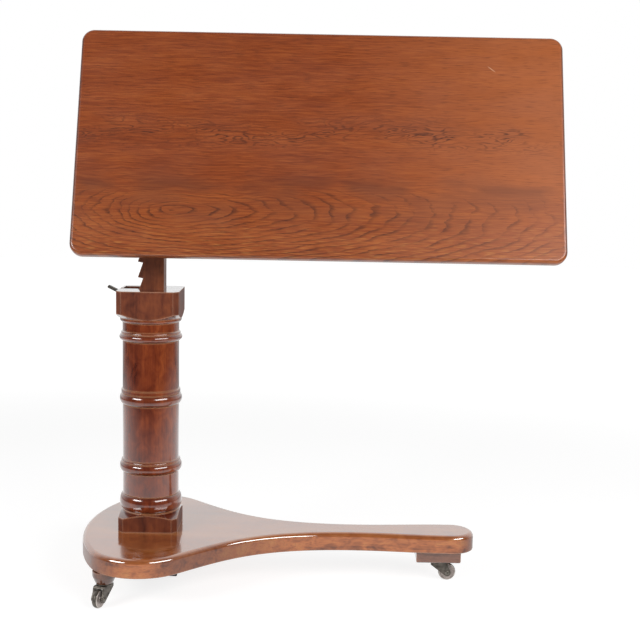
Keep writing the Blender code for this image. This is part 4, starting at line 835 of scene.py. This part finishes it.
# The flecks are small loops, where the saw ran along a wave in the growth. They come and go.
loops = add(tree, "Math", {0: layers["wave"], 1: 9.0}, operation="MULTIPLY")
loops = add(tree, "Math", {0: loops, 1: 0.5}, operation="PINGPONG")
loops = add(tree, "MapRange", {"Value": loops, "From Min": 0.26, "From Max": 0.42})
come = add(tree, "MapRange", {"Value": layers["patch"], "From Min": 0.38, "From Max": 0.56})
loops = add(tree, "Math", {0: loops, 1: come}, operation="MULTIPLY")
loops = add(tree, "Math", {0: loops, 1: zones["Green"]}, operation="MULTIPLY")
lines = add(tree, "Math", {0: rings, 1: loops}, operation="MAXIMUM")
# Every line is made of crowded pores, so it is broken into short strokes.
pores = add(tree, "MapRange", {"Value": layers["pore"], "From Min": 0.38, "From Max": 0.58, "To Min": 0.55})
lines = add(tree, "Math", {0: lines, 1: pores}, operation="MULTIPLY")
dashes = add(tree, "MapRange", {"Value": layers["dash"], "From Min": 0.54, "From Max": 0.70, "To Max": 0.4})
smudge = add(tree, "Math", {0: come, 1: zones["Blue"]}, operation="MULTIPLY")
smudge = add(tree, "Math", {0: smudge, 1: 0.45}, operation="MULTIPLY")
dark = add(tree, "Math", {0: lines, 1: dashes}, operation="MAXIMUM")
dark = add(tree, "Math", {0: dark, 1: smudge}, operation="MAXIMUM")
# The ground is red brown above and orange in the figure. Towards its right end the board is painted paler,
# less so in the figure: painted light, for the stronger light falling on the right of the board.
ground = add(tree, "Mix", {0: 0.65, 2: layers["band"], 3: layers["streak"]})
wood = add(tree, "ValToRGB", {0: ground}, [(0.36, paint("#793414")), (0.5, paint("#8C411A")),
                                           (0.64, paint("#9C4F22"))])
orange = add(tree, "ValToRGB", {0: ground}, [(0.36, paint("#863C17")), (0.64, paint("#A85824"))])
lower = add(tree, "Math", {0: zones["Red"], 1: 0.85}, operation="MULTIPLY")
wood = add(tree, "Mix", {0: lower, 6: wood, 7: orange}, data_type="RGBA", out=2)
# Painted light: the colour is lifted towards the right end of the board.
along = add(tree, "SeparateXYZ", {0: board}, out="X")
painted_right_light = add(tree, "MapRange", {"Value": along, "From Min": 0.36, "From Max": 0.77, "To Max": 0.5},
            interpolation_type="SMOOTHSTEP")
less_light_in_figure = add(tree, "MapRange", {"Value": zones["Red"], "To Min": 1.0, "To Max": 0.45})
painted_right_light = add(tree, "Math", {0: painted_right_light, 1: less_light_in_figure}, operation="MULTIPLY")
wood = add(tree, "Mix", {0: painted_right_light, 6: wood, 7: paint("#B86A38")}, data_type="RGBA", out=2)
# Low down, where the rings were met flat, the wood between the pores catches the light in gold flecks.
gold = add(tree, "MapRange", {"Value": layers["dash"], "From Min": 0.46, "From Max": 0.28, "To Max": 0.5})
below = add(tree, "MapRange", {"Value": height, "From Min": 0.22, "From Max": 0.03})
gold = add(tree, "Math", {0: gold, 1: below}, operation="MULTIPLY")
wood = add(tree, "Mix", {0: gold, 6: wood, 7: paint("#C48442")}, data_type="RGBA", out=2)
wood = add(tree, "Mix", {0: dark, 6: wood, 7: paint("#4A200F")}, data_type="RGBA", out=2)
# End grain drinks more polish, so both ends of the board are dark; the dark band along each rounded end is
# also painted shade.
end = add(tree, "Math", {0: along, 1: (TOP_RIGHT - TOP_LEFT) / 2000}, operation="SUBTRACT")
end = add(tree, "Math", {0: end}, operation="ABSOLUTE")
end = add(tree, "MapRange", {"Value": end, "From Min": 0.3805, "From Max": 0.3835, "To Max": 0.75})
wood = add(tree, "Mix", {0: end, 6: wood, 7: paint("#3A1C12")}, data_type="RGBA", out=2)
# A short pale scratch near the upper right corner.
nick = add(tree, "Mapping", {"Vector": board, "Location": (0.655, 0.317, 0), "Scale": (0.009, 0.0009, 1),
                             "Rotation": (0, 0, math.radians(-38))}, vector_type="TEXTURE")
nick = add(tree, "VectorMath", {0: nick, 1: (1, 1, 0)}, operation="MULTIPLY")
nick = add(tree, "VectorMath", {0: nick}, operation="LENGTH", out="Value")
nick = add(tree, "MapRange", {"Value": nick, "From Min": 1.0, "From Max": 0.6, "To Max": 0.7})
wood = add(tree, "Mix", {0: nick, 6: wood, 7: paint("#C99C7A")}, data_type="RGBA", out=2)
tree.links.new(wood, shader.inputs["Base Color"])
rough = add(tree, "MapRange", {"Value": layers["patch"], "From Min": 0.3, "From Max": 0.7,
                               "To Min": 0.34, "To Max": 0.46})
tree.links.new(rough, shader.inputs["Roughness"])
relief = add(tree, "Math", {0: layers["streak"], 1: dark}, operation="SUBTRACT")
relief = add(tree, "Math", {0: relief, 1: nick}, operation="SUBTRACT")
bump = add(tree, "Bump", {"Height": relief, "Strength": 0.12, "Distance": 0.0004})
tree.links.new(bump, shader.inputs["Normal"])
shader.inputs["Coat Weight"].default_value = 0.5
shader.inputs["Coat Roughness"].default_value = 0.14
fit(top, figured, "top", "mahogany_top", "top_board")

# The bearers: two mahogany bars across the underside of the top, one each side of the head block, deep
# where the hinge rod passes and thin at both ends. A plain batten keeps the far end flat.
BAR_SCREWS = (-128, 128)
STRIP_MIDDLE = 593
SCREW_IN = 11
BEARERS = {"left": -60.5, "right": 47.8}
under_polish = polished_mahogany("bearer_polish", (math.radians(-TILT), 0, -math.pi / 2), "#4E2312",
                                 "#7A3C1E", "#965028", "#A06A48", mottle=0.3, stain=0.3, gloss=0.2, film=0.5)
swept = [(60, -24), (66, -23), (72, -20.6), (78, -16), (112, 11.8), (116, 14.1), (119, 14.7), (150, 14.7),
         (150, 32.7)]
swept += [(-y, z) for y, z in swept[::-1]]
for name, left in BEARERS.items():
    bearer = saw_out("swept_bearer_" + name, swept, 22, at(left, 0, 0) @ AXIS_X)
    ease(bearer, 1.0, 2, 40)
    bearer.data.transform(TILTED)
    drill(bearer, 6.3, left - 5, left + 27, TILTED @ AXIS_X, 40)
    for y in BAR_SCREWS:
        drill(bearer, 4.5, 5, 18.5, TILTED @ at(left + SCREW_IN, y, 0))
    fit(bearer, under_polish, "top", "mahogany", "bearer_" + name)
strip = saw_out("end_bar", box(578, 608, -150, 150), 18, at(0, 0, 14.7))
round_edges(strip, min, 3, 3)
strip.data.transform(TILTED)
for y in BAR_SCREWS:
    drill(strip, 4.5, 5, 18.5, TILTED @ at(STRIP_MIDDLE, y, 0))
fit(strip, under_polish, "top", "mahogany", "end_batten")

bar_screw = slotted_screw("bar_screw", 2.2, 28.3, 4.2, 2.5)
rows = [left + SCREW_IN for left in BEARERS.values()] + [STRIP_MIDDLE]
for number, (x, y) in enumerate([(x, y) for x in rows for y in BAR_SCREWS], 1):
    turn = Matrix.Rotation(math.radians(53 * number), 4, "Z")
    driven = another(bar_screw, f"bar_screw_{number}", TILTED @ at(x, y, 15.7) @ turn)
    fit(driven, steel, "top", "steel", f"bearer_screw_{number}")
bpy.data.objects.remove(bar_screw)

# The quadrant: a half-moon of flat iron screwed to the right bearer, with seven holes for the bolt, so
# that the top holds at seven slopes from level to the photographed 70 degrees.
HOLE_STEP = 11.7
MOON_EDGE = 9
MOON_SCREWS = ((-36, -16.5), (36, -16.5))
reach = math.hypot(BOLT_BACK, BOLT_DOWN)
radius = reach + 8
lean = math.degrees(math.asin(MOON_EDGE / radius))
half_moon = sweep((0, 0), radius, -lean, -180 + lean, 56)
moon = saw_out("slope_quadrant", half_moon, 4, at(43.5, 0, 0) @ AXIS_X)
ease(moon, 0.4)
moon.data.transform(TILTED)
for step in range(7):
    angle = math.atan2(-BOLT_DOWN, BOLT_BACK) - math.radians(HOLE_STEP * step)
    drill(moon, 3.5, 40, 52, TILTED @ AXIS_X @ at(reach * math.cos(angle), reach * math.sin(angle), 0))
for y, z in MOON_SCREWS:
    drill(moon, 4.1, 40, 52, TILTED @ AXIS_X @ at(y, z, 0))
fit(moon, cast_iron, "top", "iron", "tilt_quadrant")
moon_screw = slotted_screw("moon_screw", 1.8, 16, 3.8, 2)
for number, (y, z) in enumerate(MOON_SCREWS, 1):
    driven = another(moon_screw, f"moon_screw_{number}", TILTED @ AXIS_X @ at(y, z, 43.7))
    fit(driven, steel, "top", "steel", f"quadrant_screw_{number}")
bpy.data.objects.remove(moon_screw)
